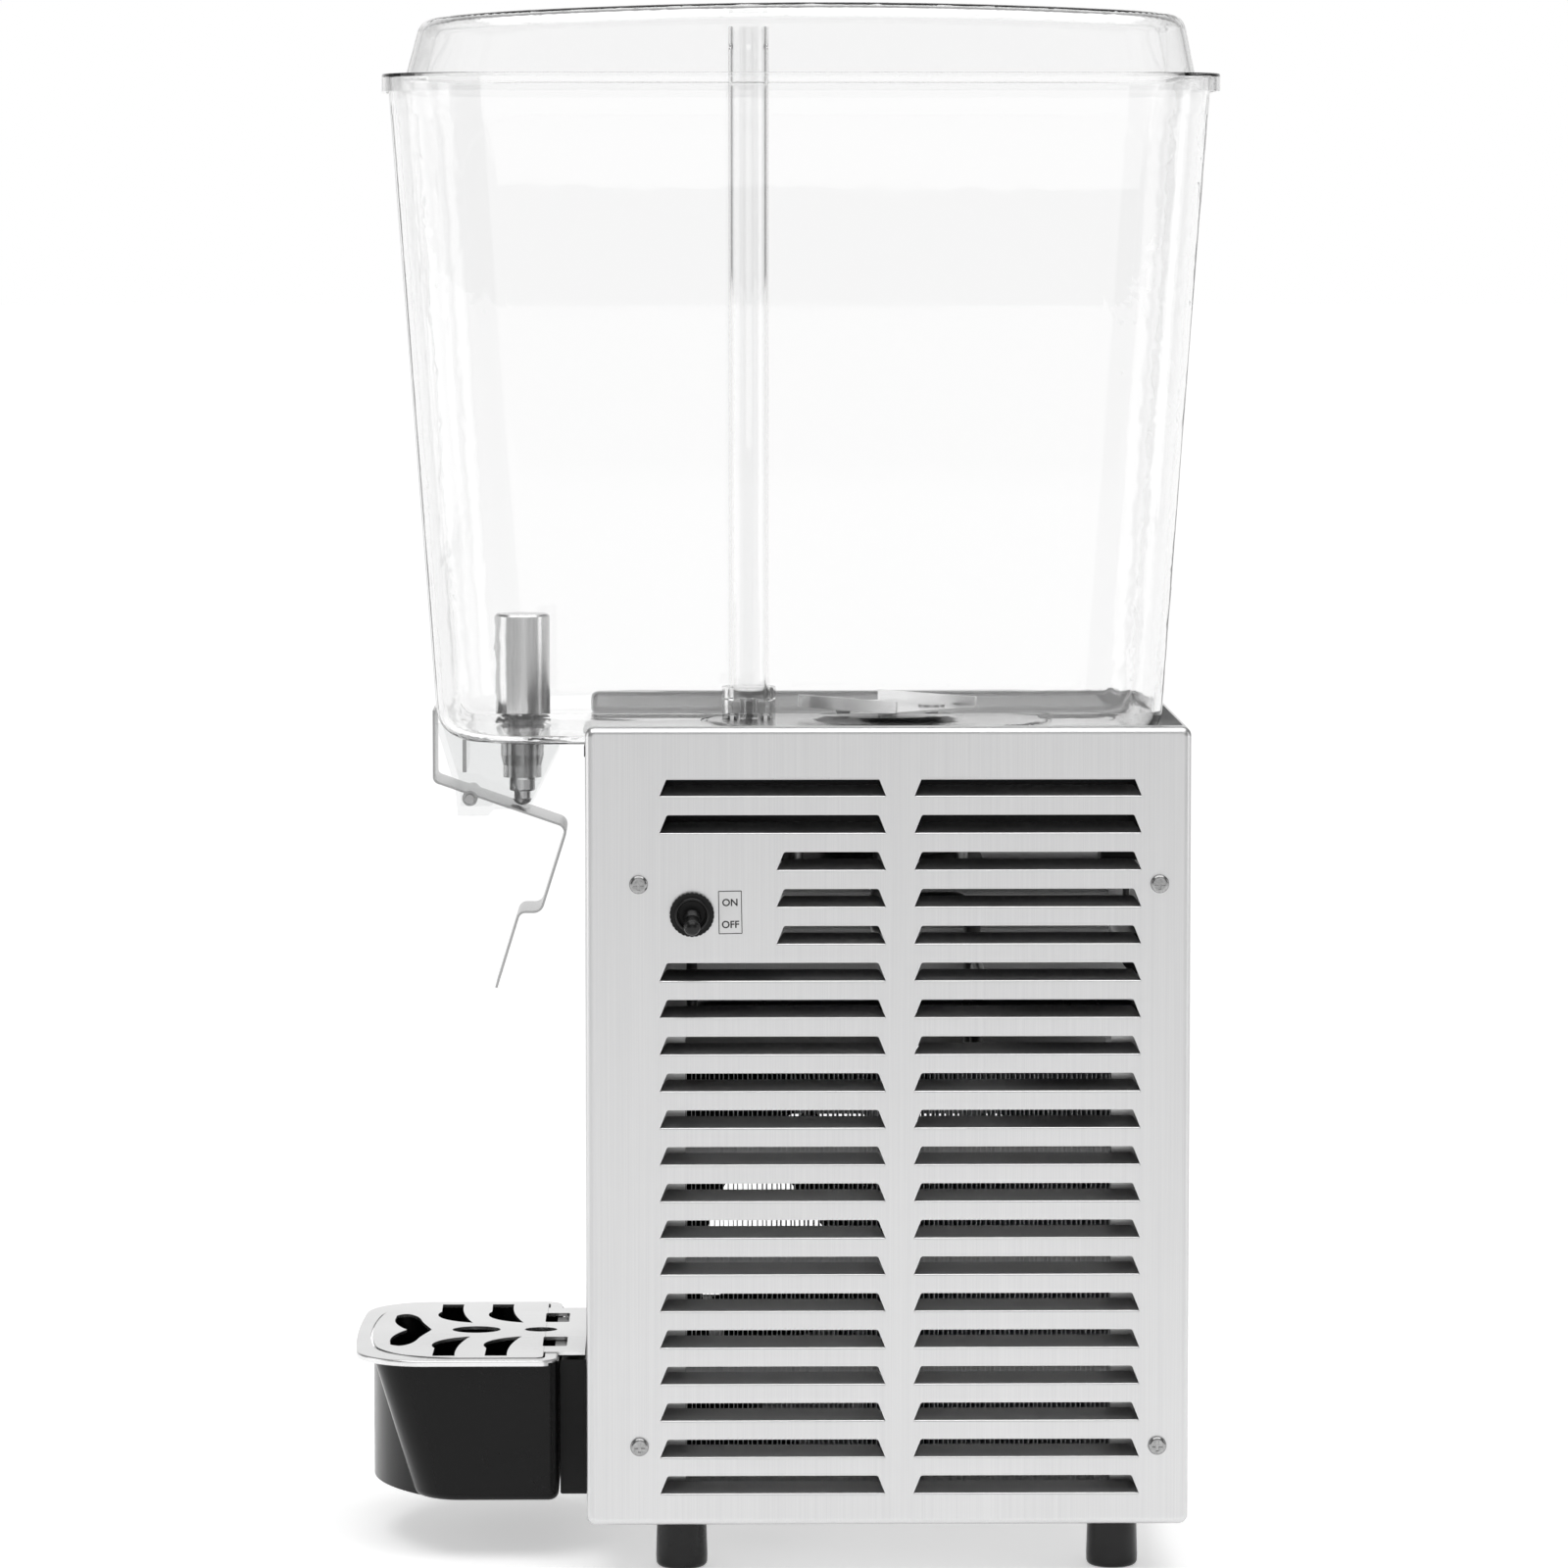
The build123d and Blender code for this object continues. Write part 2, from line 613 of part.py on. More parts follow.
MOTOR_X = (12.0, 40.0)
ARM_X = 26.0
ARM_REACH = 95.0
with BuildPart() as fan_bracket:
    with BuildSketch(Plane.YZ.offset(ARM_X)):
        with Locations((0, FAN_Z)):
            Circle(36)
            with PolarLocations(0, 4, start_angle=45):
                with Locations((ARM_REACH / 2 + 10, 0)):
                    Rectangle(ARM_REACH - 20, 9)
            Circle(30.1, mode=Mode.SUBTRACT)
    extrude(amount=2)
    with Locations(Location((0, 0, FAN_Z), (0, 90, 0))):
        with PolarLocations(ARM_REACH, 4, start_angle=45):
            with Locations((0, 0, (ARM_X + SHROUD_X) / 2)):
                Cylinder(4, SHROUD_X - ARM_X)
fan_bracket.part.label = "fan_bracket"
export_step(fan_bracket.part, "parts/fan_bracket.step")

FAN_SHAFT_R = 3.0
with BuildPart() as fan_motor:
    with BuildSketch(Plane.YZ.offset(MOTOR_X[0])):
        with Locations((0, FAN_Z)):
            Circle(30)
    extrude(amount=MOTOR_X[1] - MOTOR_X[0])
    fillet(fan_motor.edges().filter_by(GeomType.CIRCLE), 4)
    with BuildSketch(Plane.YZ.offset(MOTOR_X[1])):
        with Locations((0, FAN_Z)):
            Circle(FAN_SHAFT_R)
    extrude(amount=14)
fan_motor.part.label = "fan_motor"
export_step(fan_motor.part, "parts/fan_motor.step")

BLADE_PITCH = 28.0
with BuildPart() as fan_blades:
    with Locations(Location((49, 0, FAN_Z), (0, 90, 0))):
        Cylinder(18, 12)
        with PolarLocations(18, 5):
            with Locations(Location((31, 0, 0), (BLADE_PITCH, 0, 0))):
                Box(66, 30, 1.6)
    with BuildSketch(Plane.YZ.offset(MOTOR_X[1] - 4)):
        with Locations((0, FAN_Z)):
            Circle(FAN_R)
    extrude(amount=26, mode=Mode.INTERSECT)
    with BuildSketch(Plane.YZ.offset(MOTOR_X[1])):
        with Locations((0, FAN_Z)):
            Circle(FAN_SHAFT_R + 0.05)
    extrude(amount=14.5, mode=Mode.SUBTRACT)
fan_blades.part.label = "fan_blades"
export_step(fan_blades.part, "parts/fan_blades.step")

# Refrigerant lines and the filter drier.
DRIER_R = 9.5
DRIER_X = (-50.0, 30.0)
LIQUID = (112.0, 268.0)         # the liquid line's y behind the condenser, and its height
LINE_ROUTES = [
    # hot gas, compressor to condenser
    ([(-25, 40, 177.2), (-25, 40, 256), (73, 40, 256), (73, LIQUID[0], 256),
      (73, LIQUID[0], COIL_TOP_Z), (73, COIL_REACH + 0.1, COIL_TOP_Z)], 3.0, 5.5),
    # liquid, condenser to drier
    ([(91, COIL_REACH + 0.1, COIL_TOP_Z), (91, LIQUID[0], COIL_TOP_Z), (91, *LIQUID),
      (DRIER_X[1] + 6.1, *LIQUID)], 3.0, 5.5),
    # capillary, drier to evaporator
    ([(DRIER_X[0] - 6.1, *LIQUID), (-75, *LIQUID), (-75, LIQUID[0], 296), (-75, PLATE_Y, 296),
      (-EVAP_HALF[0], PLATE_Y, 296), (-EVAP_HALF[0], PLATE_Y, 299.9)], 1.5, 1.8),
    # cold gas, evaporator back to compressor
    ([(EVAP_HALF[0], PLATE_Y, 299.9), (EVAP_HALF[0], PLATE_Y, 282), (-70, PLATE_Y, 282),
      (-70, 40, 282), (-70, 40, 173.2)], 4.0, 10),
]
with BuildPart() as refrigerant_lines:
    for points, pipe_r, bend_r in LINE_ROUTES:
        add(pipe(points, pipe_r, bend_r))
refrigerant_lines.part.label = "refrigerant_lines"
export_step(refrigerant_lines.part, "parts/refrigerant_lines.step")

with BuildPart() as filter_drier:
    with BuildSketch(Plane.XY.offset(LIQUID[1])) as drier_profile:
        with BuildLine():
            Polyline(
                (DRIER_X[0] - 6, LIQUID[0]),
                (DRIER_X[1] + 6, LIQUID[0]),
                (DRIER_X[1] + 6, LIQUID[0] + 3.5),
                (DRIER_X[1], LIQUID[0] + DRIER_R),
                (DRIER_X[0], LIQUID[0] + DRIER_R),
                (DRIER_X[0] - 6, LIQUID[0] + 3.5),
                close=True,
            )
        make_face()
    revolve(axis=Axis((0, *LIQUID), (1, 0, 0)))
filter_drier.part.label = "filter_drier"
export_step(filter_drier.part, "parts/filter_drier.step")


# ================= electrics =================

with BuildPart() as thermostat:
    with Locations((-88, 112.5, 313)):
        Box(24, 24.4, 26)
    fillet(thermostat.edges().filter_by(Axis.Y), 2)
    with Locations(Location((-88, 96, 313), (90, 0, 0))):
        Cylinder(5, 9)
thermostat.part.label = "thermostat"
export_step(thermostat.part, "parts/thermostat.step")

TERMINAL_Y = 114.0
with BuildPart() as terminal_block:
    with Locations((41, TERMINAL_Y, PAN_TOP + 10.2)):
        Box(36, 16, 20)
    with Locations((41, TERMINAL_Y, PAN_TOP + 20.2)):
        with GridLocations(8, 0, 4, 1):
            Cylinder(2.5, 3, mode=Mode.SUBTRACT)
terminal_block.part.label = "terminal_block"
export_step(terminal_block.part, "parts/terminal_block.step")

LOOM_X = (80, 44)
LOOM_ROUTE = [
    (LOOM_X[0], SWITCH_Y, 280.7),
    (LOOM_X[0], SWITCH_Y, 246),
    (LOOM_X[1], SWITCH_Y, 246),
    (LOOM_X[1], TERMINAL_Y, 246),
    (LOOM_X[1], TERMINAL_Y, PAN_TOP + 20.4),
]
with BuildPart() as wiring_loom:
    add(pipe(LOOM_ROUTE, 2.5, 10))
wiring_loom.part.label = "wiring_loom"
export_step(wiring_loom.part, "parts/wiring_loom.step")

# Toggle switch: body behind the panel, nut and rubber collar outside, and the toggle itself.
with BuildPart() as switch_body:
    with Locations((90, SWITCH_Y, SWITCH_Z)):
        Box(30, 17, 28)
    fillet(switch_body.edges().filter_by(Axis.X), 2)
    with Locations(Location((109.7, SWITCH_Y, SWITCH_Z), (0, 90, 0))):
        Cylinder(SWITCH_BUSH_R - GAP, 11.4)
    with Locations([(72.5, SWITCH_Y, SWITCH_Z + step) for step in (-9, 0, 9)]):
        Box(6, 5, 0.8)
switch_body.part.label = "switch_body"
export_step(switch_body.part, "parts/switch_body.step")

NUT_X = (HALF_WIDTH, HALF_WIDTH + 3.0)
with BuildPart() as switch_nut:
    with BuildSketch(Plane.YZ.offset(NUT_X[0])):
        with Locations((SWITCH_Y, SWITCH_Z)):
            Circle(9.75)
            with PolarLocations(9.9, 30):
                Rectangle(0.7, 0.8, mode=Mode.SUBTRACT)
            Circle(SWITCH_BUSH_R, mode=Mode.SUBTRACT)
    extrude(amount=NUT_X[1] - NUT_X[0])
switch_nut.part.label = "switch_nut"
export_step(switch_nut.part, "parts/switch_nut.step")

with BuildPart() as switch_boot:
    with BuildSketch(Plane.YZ.offset(NUT_X[1])):
        with Locations((SWITCH_Y, SWITCH_Z)):
            Circle(7.6)
            Circle(6.2, mode=Mode.SUBTRACT)
    extrude(amount=2)
    fillet(switch_boot.faces().sort_by(Axis.X)[-1].edges(), 0.6)
switch_boot.part.label = "switch_boot"
export_step(switch_boot.part, "parts/switch_boot.step")

TOGGLE_LENGTH = 17.0
TOGGLE_PIN_R = 1.1
with BuildPart() as toggle_lever:
    with BuildSketch(Plane.XZ) as profile:
        with BuildLine():
            Polyline(
                (0, 2.2),
                (3.0, 2.2),
                (4.1, 4),
                (3.4, 8),
                (3.7, TOGGLE_LENGTH),
                (0, TOGGLE_LENGTH),
                close=True,
            )
        make_face()
        fillet(profile.vertices().filter_by(lambda v: v.X > 3.6 and v.Y > 16), 3.3)
    revolve(axis=Axis.Z)
    Cylinder(TOGGLE_PIN_R, 7.0, rotation=(90, 0, 0))
    with Locations((0, 0, 1.4)):
        Cylinder(1.0, 2.8)
with BuildPart() as switch_toggle:
    with Locations(Location((TOGGLE_PIVOT_X, SWITCH_Y, SWITCH_Z), (0, 90 + TOGGLE_ANGLE, 0))):
        add(toggle_lever.part)
switch_toggle.part.label = "switch_toggle"
export_step(switch_toggle.part, "parts/switch_toggle.step")

LABEL_SIZE = (10.3, 19.0)
with BuildPart() as switch_label:
    with BuildSketch(Plane.YZ.offset(HALF_WIDTH)):
        with Locations(Location((-74.4, 295.7), 1.0)):
            Rectangle(*LABEL_SIZE)
    extrude(amount=0.15)
switch_label.part.label = "switch_label"
export_step(switch_label.part, "parts/switch_label.step")


# ================= bowl and lid =================

def bowl_outline(half, front, back, inset=0.0, front_r=46.0, back_r=30.0, bow=6.0):
    """Plan of the bowl: bowed front, straight sides and back, large round corners."""
    half -= inset
    front += inset
    back -= inset
    with BuildSketch() as outline:
        with BuildLine():
            Polyline((-half, front + bow), (-half, back), (half, back), (half, front + bow))
            ThreePointArc((half, front + bow), (0, front), (-half, front + bow))
        make_face()
        corners = outline.vertices().group_by(Axis.Y)
        fillet(corners[0], front_r - inset)
        fillet(outline.vertices().group_by(Axis.Y)[-1], back_r - inset)
    return outline.sketch


def tapered_form(low, high, heights, radii, inset, floor_z, top_z, corner_r):
    """A solid between two plans, cut at floor and top heights, its bottom edge rounded."""
    with BuildPart() as form:
        for z in (floor_z, top_z):
            part_up = (z - heights[0]) / (heights[1] - heights[0])
            plan = [a + (b - a) * part_up for a, b in zip(low, high)]
            with BuildSketch(Plane.XY.offset(z)):
                add(bowl_outline(*plan, inset, *radii))
        loft(ruled=True)
        if corner_r:
            fillet(form.faces().sort_by(Axis.Z)[0].edges(), corner_r)
    return form.part


def bowl_form(inset, floor_z, corner_r, top_z):
    """The solid inside the bowl's outside surface, inset from it by a wall's thickness."""
    heights = (BOWL_UNDER_Z, BOWL_RIM_Z)
    radii = (46, 30, 6)
    return tapered_form(BOWL_BOTTOM, BOWL_TOP, heights, radii, inset, floor_z, top_z, corner_r)


SPOUT_R = 9.7
CHEEK_HALF = CHEEK_X + CHEEK_T
with BuildPart() as bowl:
    add(bowl_form(0, BOWL_UNDER_Z, 15, BOWL_RIM_Z))
    add(bowl_form(BOWL_WALL, BOWL_FLOOR_Z, 12, BOWL_RIM_Z + 1), mode=Mode.SUBTRACT)
    add(bowl_form(BOWL_WALL - 0.9, LEDGE_Z, 0, BOWL_RIM_Z + 1), mode=Mode.SUBTRACT)
    with BuildSketch(Plane.XY.offset(BOWL_UNDER_Z - 1)):
        with Locations((0, PLATE_Y)):
            add(obround(*BOWL_HOLE))
        with Locations((0, TAP_Y)):
            Circle(SPOUT_R + 0.05)
    extrude(amount=6, mode=Mode.SUBTRACT)
bowl.part.label = "bowl"
export_step(bowl.part, "parts/bowl.step")


def dome_form(inset, bottom_z):
    """The lid's domed middle: leaning sides under a long shallow crown, edges rounded."""
    heights = (SKIRT_Z[1], DOME_TOP_Z)
    radii = (50, 36, 7)
    high = DOME_TOP_Z + 6
    with BuildPart() as form:
        add(tapered_form(DOME_BASE, DOME_TOP, heights, radii, inset, bottom_z, high, 0))
        with BuildSketch(Plane.YZ.offset(-HALF_WIDTH)):
            with Locations((DOME_PEAK_Y, DOME_TOP_Z - inset - CROWN_R)):
                Circle(CROWN_R)
        extrude(amount=2 * HALF_WIDTH, mode=Mode.INTERSECT)
        fillet(form.faces().sort_by(Axis.Z)[-1].edges(), DOME_EDGE_R - inset)
    return form.part


DOME_PEAK_Y = -30.0
DOME_EDGE_R = 8.0
CROWN_R = 2500.0                # the lid's shallow arch along its length
with BuildPart() as lid:
    add(slab(bowl_outline(*SKIRT, 0, 50, 34), SKIRT_Z[0], SKIRT_Z[1]))
    add(
        slab(bowl_outline(*SKIRT, 2.0, 50, 34), SKIRT_Z[0] - 1, SKIRT_Z[1] - 1.5),
        mode=Mode.SUBTRACT,
    )
    fillet(lid.faces().sort_by(Axis.Z)[-1].edges(), 0.7)
    add(dome_form(0, SKIRT_Z[1] - 1.0))
    add(dome_form(LID_WALL, SKIRT_Z[1] - 2.0), mode=Mode.SUBTRACT)
lid.part.label = "lid"
export_step(lid.part, "parts/lid.step")


# ================= tap =================

# Seat ring glued round the outlet in the bowl floor.
with BuildPart() as valve_seat:
    with BuildSketch(Plane.XY.offset(BOWL_FLOOR_Z)):
        with Locations((0, TAP_Y)):
            Circle(13)
            Circle(8.8, mode=Mode.SUBTRACT)
    extrude(amount=1.3)
    fillet(valve_seat.edges().group_by(Axis.Z)[-1], 0.5)
valve_seat.part.label = "valve_seat"
export_step(valve_seat.part, "parts/valve_seat.step")

# Spout: the outlet tube through the bowl floor, narrower at its lower end.
with BuildPart() as spout:
    with BuildSketch(Plane.XZ):
        with BuildLine():
            Polyline(
                (SPOUT_BORE_R, BOWL_FLOOR_Z),
                (SPOUT_R, BOWL_FLOOR_Z),
                (SPOUT_R, 356),
                (8.7, 351.5),
                (8.7, 346),
                (SPOUT_BORE_R, 346),
                close=True,
            )
        make_face()
    revolve(axis=Axis.Z)
spout.part.position = (0, TAP_Y, 0)
spout.part.label = "spout"
export_step(spout.part, "parts/spout.step")

# Valve weight: a steel slug whose stem hangs through the spout and rests by the lever.
with BuildPart() as valve_weight:
    with BuildSketch(Plane.XZ):
        with BuildLine():
            Polyline(
                (0, STEM_TIP_Z),
                (1.5, STEM_TIP_Z + 0.3),
                (3.6, STEM_TIP_Z + 1.5),
                (4.4, STEM_TIP_Z + 3.0),
                (3.7, STEM_TIP_Z + 3.4),
                (3.7, 339.4),
                (STEM_R - 0.4, 339.8),
                (STEM_R, 340.4),
                (STEM_R, 345),
                (STEM_R - 0.6, 346),
                (STEM_R - 0.6, 369.9),
                (7.5, 370.3),
                (WEIGHT_R, WEIGHT_Z[0]),
                (WEIGHT_R, WEIGHT_Z[1] - 1),
                (WEIGHT_R - 1, WEIGHT_Z[1]),
                (0, WEIGHT_Z[1]),
                close=True,
            )
        make_face()
    revolve(axis=Axis.Z)
valve_weight.part.position = (0, TAP_Y, 0)
valve_weight.part.label = "valve_weight"
export_step(valve_weight.part, "parts/valve_weight.step")

# Tap housing: two clear cheeks under the bowl's overhang, joined by a cross web.
CHEEK = [
    (-206.5, 372.0), (-205.0, 367.5), (-197.5, 342.6), (-196.6, 330.5), (-182.8, 330.5),
    (-180.1, 333.6), (-164.1, 333.6), (-150.6, 360.4), (-150.6, 368.0), (-170.0, 372.0),
]
with BuildPart() as tap_housing:
    for side in (-1, 1):
        with BuildSketch(Plane.YZ.offset(side * CHEEK_X)):
            with BuildLine():
                Polyline(*CHEEK, close=True)
            make_face()
            with Locations((PIVOT_Y, PIVOT_Z)):
                Circle(PIVOT_R + 0.02, mode=Mode.SUBTRACT)
        extrude(amount=side * CHEEK_T)
    with Locations((0, -193.5, 358)):
        Box(2 * CHEEK_X, 1.8, 16)
    add(bowl_form(-0.05, BOWL_UNDER_Z - 0.05, 15, BOWL_RIM_Z), mode=Mode.SUBTRACT)
tap_housing.part.label = "tap_housing"
export_step(tap_housing.part, "parts/tap_housing.step")

with BuildPart() as lever_pin:
    with Locations(Location((0, PIVOT_Y, PIVOT_Z), (0, 90, 0))):
        Cylinder(PIVOT_R, 2 * CHEEK_HALF + 2)
lever_pin.part.label = "lever_pin"
export_step(lever_pin.part, "parts/lever_pin.step")

# Lever: one strip of bent sheet from the front shield, under the stem, to the cup paddle.
LEVER_POINTS = [
    (-207.9, 377.8), (-207.9, 345.3), (-147.9, 324.5), (-159.8, 286.8), (-169.4, 286.8),
    (-180.1, 252.0),
]
LEVER_BENDS = [3.4, 3.6, 4.0, 4.0]
SLEEVE_R = 3.5
with BuildPart() as lever:
    with BuildSketch(Plane.YZ.offset(-LEVER_HALF)):
        with BuildLine():
            FilletPolyline(*LEVER_POINTS, radius=LEVER_BENDS)
            offset(amount=LEVER_SHEET, side=Side.LEFT)
        make_face()
        with Locations((PIVOT_Y, PIVOT_Z)):
            Circle(SLEEVE_R)
    extrude(amount=2 * LEVER_HALF)
    with BuildSketch(Plane.YZ.offset(-LEVER_HALF - 1)):
        with Locations((PIVOT_Y, PIVOT_Z)):
            Circle(PIVOT_R + 0.05)
    extrude(amount=2 * LEVER_HALF + 2, mode=Mode.SUBTRACT)
lever.part.label = "lever"
export_step(lever.part, "parts/lever.step")


# ================= spray pump and paddle =================

HOUSING_R = 12.2
HOUSING_Z = (PLATE_TOP_Z, 387.1)
TUBE_SEAT_Z = 382.0
with BuildPart() as pump_housing:
    with Locations((0, TUBE_Y, (HOUSING_Z[0] + HOUSING_Z[1]) / 2)):
        Cylinder(HOUSING_R, HOUSING_Z[1] - HOUSING_Z[0])
        Cylinder(HOUSING_R - 2.4, HOUSING_Z[1] - HOUSING_Z[0], mode=Mode.SUBTRACT)
    with Locations((0, TUBE_Y, TUBE_SEAT_Z - 0.6)):
        Cylinder(HOUSING_R - 2, 1.2)
        Cylinder(7.4, 1.2, mode=Mode.SUBTRACT)
    with Locations((0, TUBE_Y, HOUSING_Z[0] + 1.5)):
        with PolarLocations(HOUSING_R, 4, start_angle=45):
            Box(8, 5, 3, mode=Mode.SUBTRACT)
    with Locations((0, TUBE_Y, HOUSING_Z[1] - (HOUSING_Z[1] - TUBE_SEAT_Z) / 2)):
        Cylinder(TUBE_R + 0.05, HOUSING_Z[1] - TUBE_SEAT_Z, mode=Mode.SUBTRACT)
pump_housing.part.label = "pump_housing"
export_step(pump_housing.part, "parts/pump_housing.step")

with BuildPart() as spray_tube:
    with Locations((0, TUBE_Y, (TUBE_SEAT_Z + TUBE_TOP_Z) / 2)):
        Cylinder(TUBE_R, TUBE_TOP_Z - TUBE_SEAT_Z)
        Cylinder(TUBE_R - 1.6, TUBE_TOP_Z - TUBE_SEAT_Z, mode=Mode.SUBTRACT)
    with Locations((0, TUBE_Y, TUBE_TOP_Z - 9)):
        with PolarLocations(TUBE_R, 4):
            with Locations(Location((0, 0, 0), (0, 90, 0))):
                Cylinder(1.3, 6, mode=Mode.SUBTRACT)
spray_tube.part.label = "spray_tube"
export_step(spray_tube.part, "parts/spray_tube.step")

IMPELLER_PIN_R = 1.5
with BuildPart() as pump_impeller:
    with Locations((0, TUBE_Y, 376.6)):
        Cylinder(4, 10)
        with PolarLocations(5, 4):
            Box(5, 1.2, 7)
        Cylinder(IMPELLER_PIN_R + 0.06, 10, mode=Mode.SUBTRACT)
pump_impeller.part.label = "pump_impeller"
export_step(pump_impeller.part, "parts/pump_impeller.step")

AGITATOR_PIN_R = 2.0
STEP_TOP_Z = PLATE_TOP_Z + STEP_H
with BuildPart() as drive_pins:
    with Locations((0, AGITATOR_Y, (STEP_TOP_Z + 377.1) / 2)):
        Cylinder(AGITATOR_PIN_R, 377.1 - STEP_TOP_Z)
    with Locations((0, TUBE_Y, (PLATE_TOP_Z + 380.5) / 2)):
        Cylinder(IMPELLER_PIN_R, 380.5 - PLATE_TOP_Z)
drive_pins.part.label = "drive_pins"
export_step(drive_pins.part, "parts/drive_pins.step")

# Paddle: a rectangular channel of sheet on a capped hub, riveted to two magnets.
PADDLE = (64.0, 51.0)
PADDLE_TURN = 42.0
PADDLE_Z = 377.2
PADDLE_LIP = 5.6
HUB_Z = (373.5, 379.0)
MAGNET_SPOTS = [(-1.5, AGITATOR_Y - 20), (1.5, AGITATOR_Y + 20)]
with BuildPart() as paddle:
    with Locations(Location((0, AGITATOR_Y, PADDLE_Z), PADDLE_TURN)):
        with Locations((0, 0, 0.5)):
            Box(PADDLE[0], PADDLE[1], 1)
        for side in (-1, 1):
            with Locations((0, side * (PADDLE[1] / 2 - 0.5), PADDLE_LIP / 2)):
                Box(PADDLE[0], 1, PADDLE_LIP)
    with Locations((0, AGITATOR_Y, sum(HUB_Z) / 2)):
        Cylinder(4.5, HUB_Z[1] - HUB_Z[0])
    with Locations((0, AGITATOR_Y, HUB_Z[0] + 1.9)):
        Cylinder(AGITATOR_PIN_R + 0.06, 3.8, mode=Mode.SUBTRACT)
    with Locations([(x, y, PADDLE_Z) for x, y in MAGNET_SPOTS]):
        Cylinder(2.05, 6, mode=Mode.SUBTRACT)
paddle.part.label = "paddle"
export_step(paddle.part, "parts/paddle.step")

with BuildPart() as paddle_magnet:
    with Locations((0, 0, PADDLE_Z - 1.4)):
        Cylinder(3.4, 2.8)
    fillet(paddle_magnet.edges().sort_by(Axis.Z)[0], 1.6)
    with Locations((0, 0, PADDLE_Z + 1.4)):
        Cylinder(6, 0.8)
    with Locations((0, 0, PADDLE_Z + 0.5)):
        Cylinder(2, 2)
with BuildPart() as paddle_magnets:
    with Locations([(x, y, 0) for x, y in MAGNET_SPOTS]):
        add(paddle_magnet.part)
paddle_magnets.part.label = "paddle_magnets"
export_step(paddle_magnets.part, "parts/paddle_magnets.step")

# Drives under the evaporator: two motors on one plate, each turning a magnet rotor.
MOTOR_PLATE_Z = 310.0
MOTOR_TOP_Z = 350.0
ROTOR_Z = (357.0, 366.5)
SHAFT_R = 2.5
PADDLE_DRIVE = (AGITATOR_Y, 30.0, 30.0)    # y, motor radius, rotor radius
PUMP_DRIVE = (TUBE_Y, 16.0, 8.5)


def drive_motor(y, radius):
    """A can motor standing on the motor plate, with its shaft upwards."""
    with BuildPart() as motor:
        with Locations((0, y, (MOTOR_PLATE_Z + 2 + MOTOR_TOP_Z) / 2)):
            Cylinder(radius, MOTOR_TOP_Z - MOTOR_PLATE_Z - 2)
        fillet(motor.edges().sort_by(Axis.Z)[-1], 3)
        with Locations((0, y, (MOTOR_TOP_Z + ROTOR_Z[1]) / 2)):
            Cylinder(SHAFT_R, ROTOR_Z[1] - MOTOR_TOP_Z)
    return motor.part


def drive_rotor(y, radius):
    """The magnet disc that turns on a motor's shaft."""
    with BuildPart() as rotor:
        with Locations((0, y, sum(ROTOR_Z) / 2)):
            Cylinder(radius, ROTOR_Z[1] - ROTOR_Z[0])
            Cylinder(SHAFT_R + 0.05, ROTOR_Z[1] - ROTOR_Z[0], mode=Mode.SUBTRACT)
    return rotor.part


with BuildPart() as paddle_motor:
    add(drive_motor(PADDLE_DRIVE[0], PADDLE_DRIVE[1]))
paddle_motor.part.label = "paddle_motor"
export_step(paddle_motor.part, "parts/paddle_motor.step")

with BuildPart() as pump_motor:
    add(drive_motor(PUMP_DRIVE[0], PUMP_DRIVE[1]))
pump_motor.part.label = "pump_motor"
export_step(pump_motor.part, "parts/pump_motor.step")

with BuildPart() as paddle_rotor:
    add(drive_rotor(PADDLE_DRIVE[0], PADDLE_DRIVE[2]))
paddle_rotor.part.label = "paddle_rotor"
export_step(paddle_rotor.part, "parts/paddle_rotor.step")

with BuildPart() as pump_rotor:
    add(drive_rotor(PUMP_DRIVE[0], PUMP_DRIVE[2]))
pump_rotor.part.label = "pump_rotor"
export_step(pump_rotor.part, "parts/pump_rotor.step")

# Motor plate hung on four posts from the underside of the evaporator plate.
POST_SPOTS = [(x, y) for x in (-43, 43) for y in (-44, 30)]
with BuildPart() as motor_plate:
    with BuildSketch(Plane.XY.offset(MOTOR_PLATE_Z)):
        with Locations((0, -26)):
            RectangleRounded(98, 132, 6)
    extrude(amount=2)
    for x, y in POST_SPOTS:
        post_top = PLATE_TOP_Z - PLATE_SHEET
        with Locations((x, y, (MOTOR_PLATE_Z + post_top) / 2)):
            Cylinder(3, post_top - MOTOR_PLATE_Z)
motor_plate.part.label = "motor_plate"
export_step(motor_plate.part, "parts/motor_plate.step")


# ================= drip tray =================

TRAY_BOTTOM = (TRAY_HALF, -216.0, TRAY_BACK_Y)
TRAY_TOP = (TRAY_HALF, -235.0, TRAY_BACK_Y)
NOSE_HALF = 62.0


def tray_form(inset, floor_z, top_z):
    """Tray body: a box whose front slopes back, with an upright round nose through it."""
    radii = (22, 5, 0.5)
    with BuildPart() as form:
        add(tapered_form(TRAY_BOTTOM, TRAY_TOP, TRAY_Z, radii, inset, floor_z, top_z, 4 - inset))
        with BuildSketch(Plane.XY.offset(floor_z)):
            with Locations((0, TRAY_NOSE_Y + TRAY_NOSE_R)):
                Circle(TRAY_NOSE_R - inset)
            with Locations((0, -200)):
                Rectangle(2 * (NOSE_HALF - inset), 80, mode=Mode.INTERSECT)
        extrude(amount=top_z - floor_z)
    return form.part


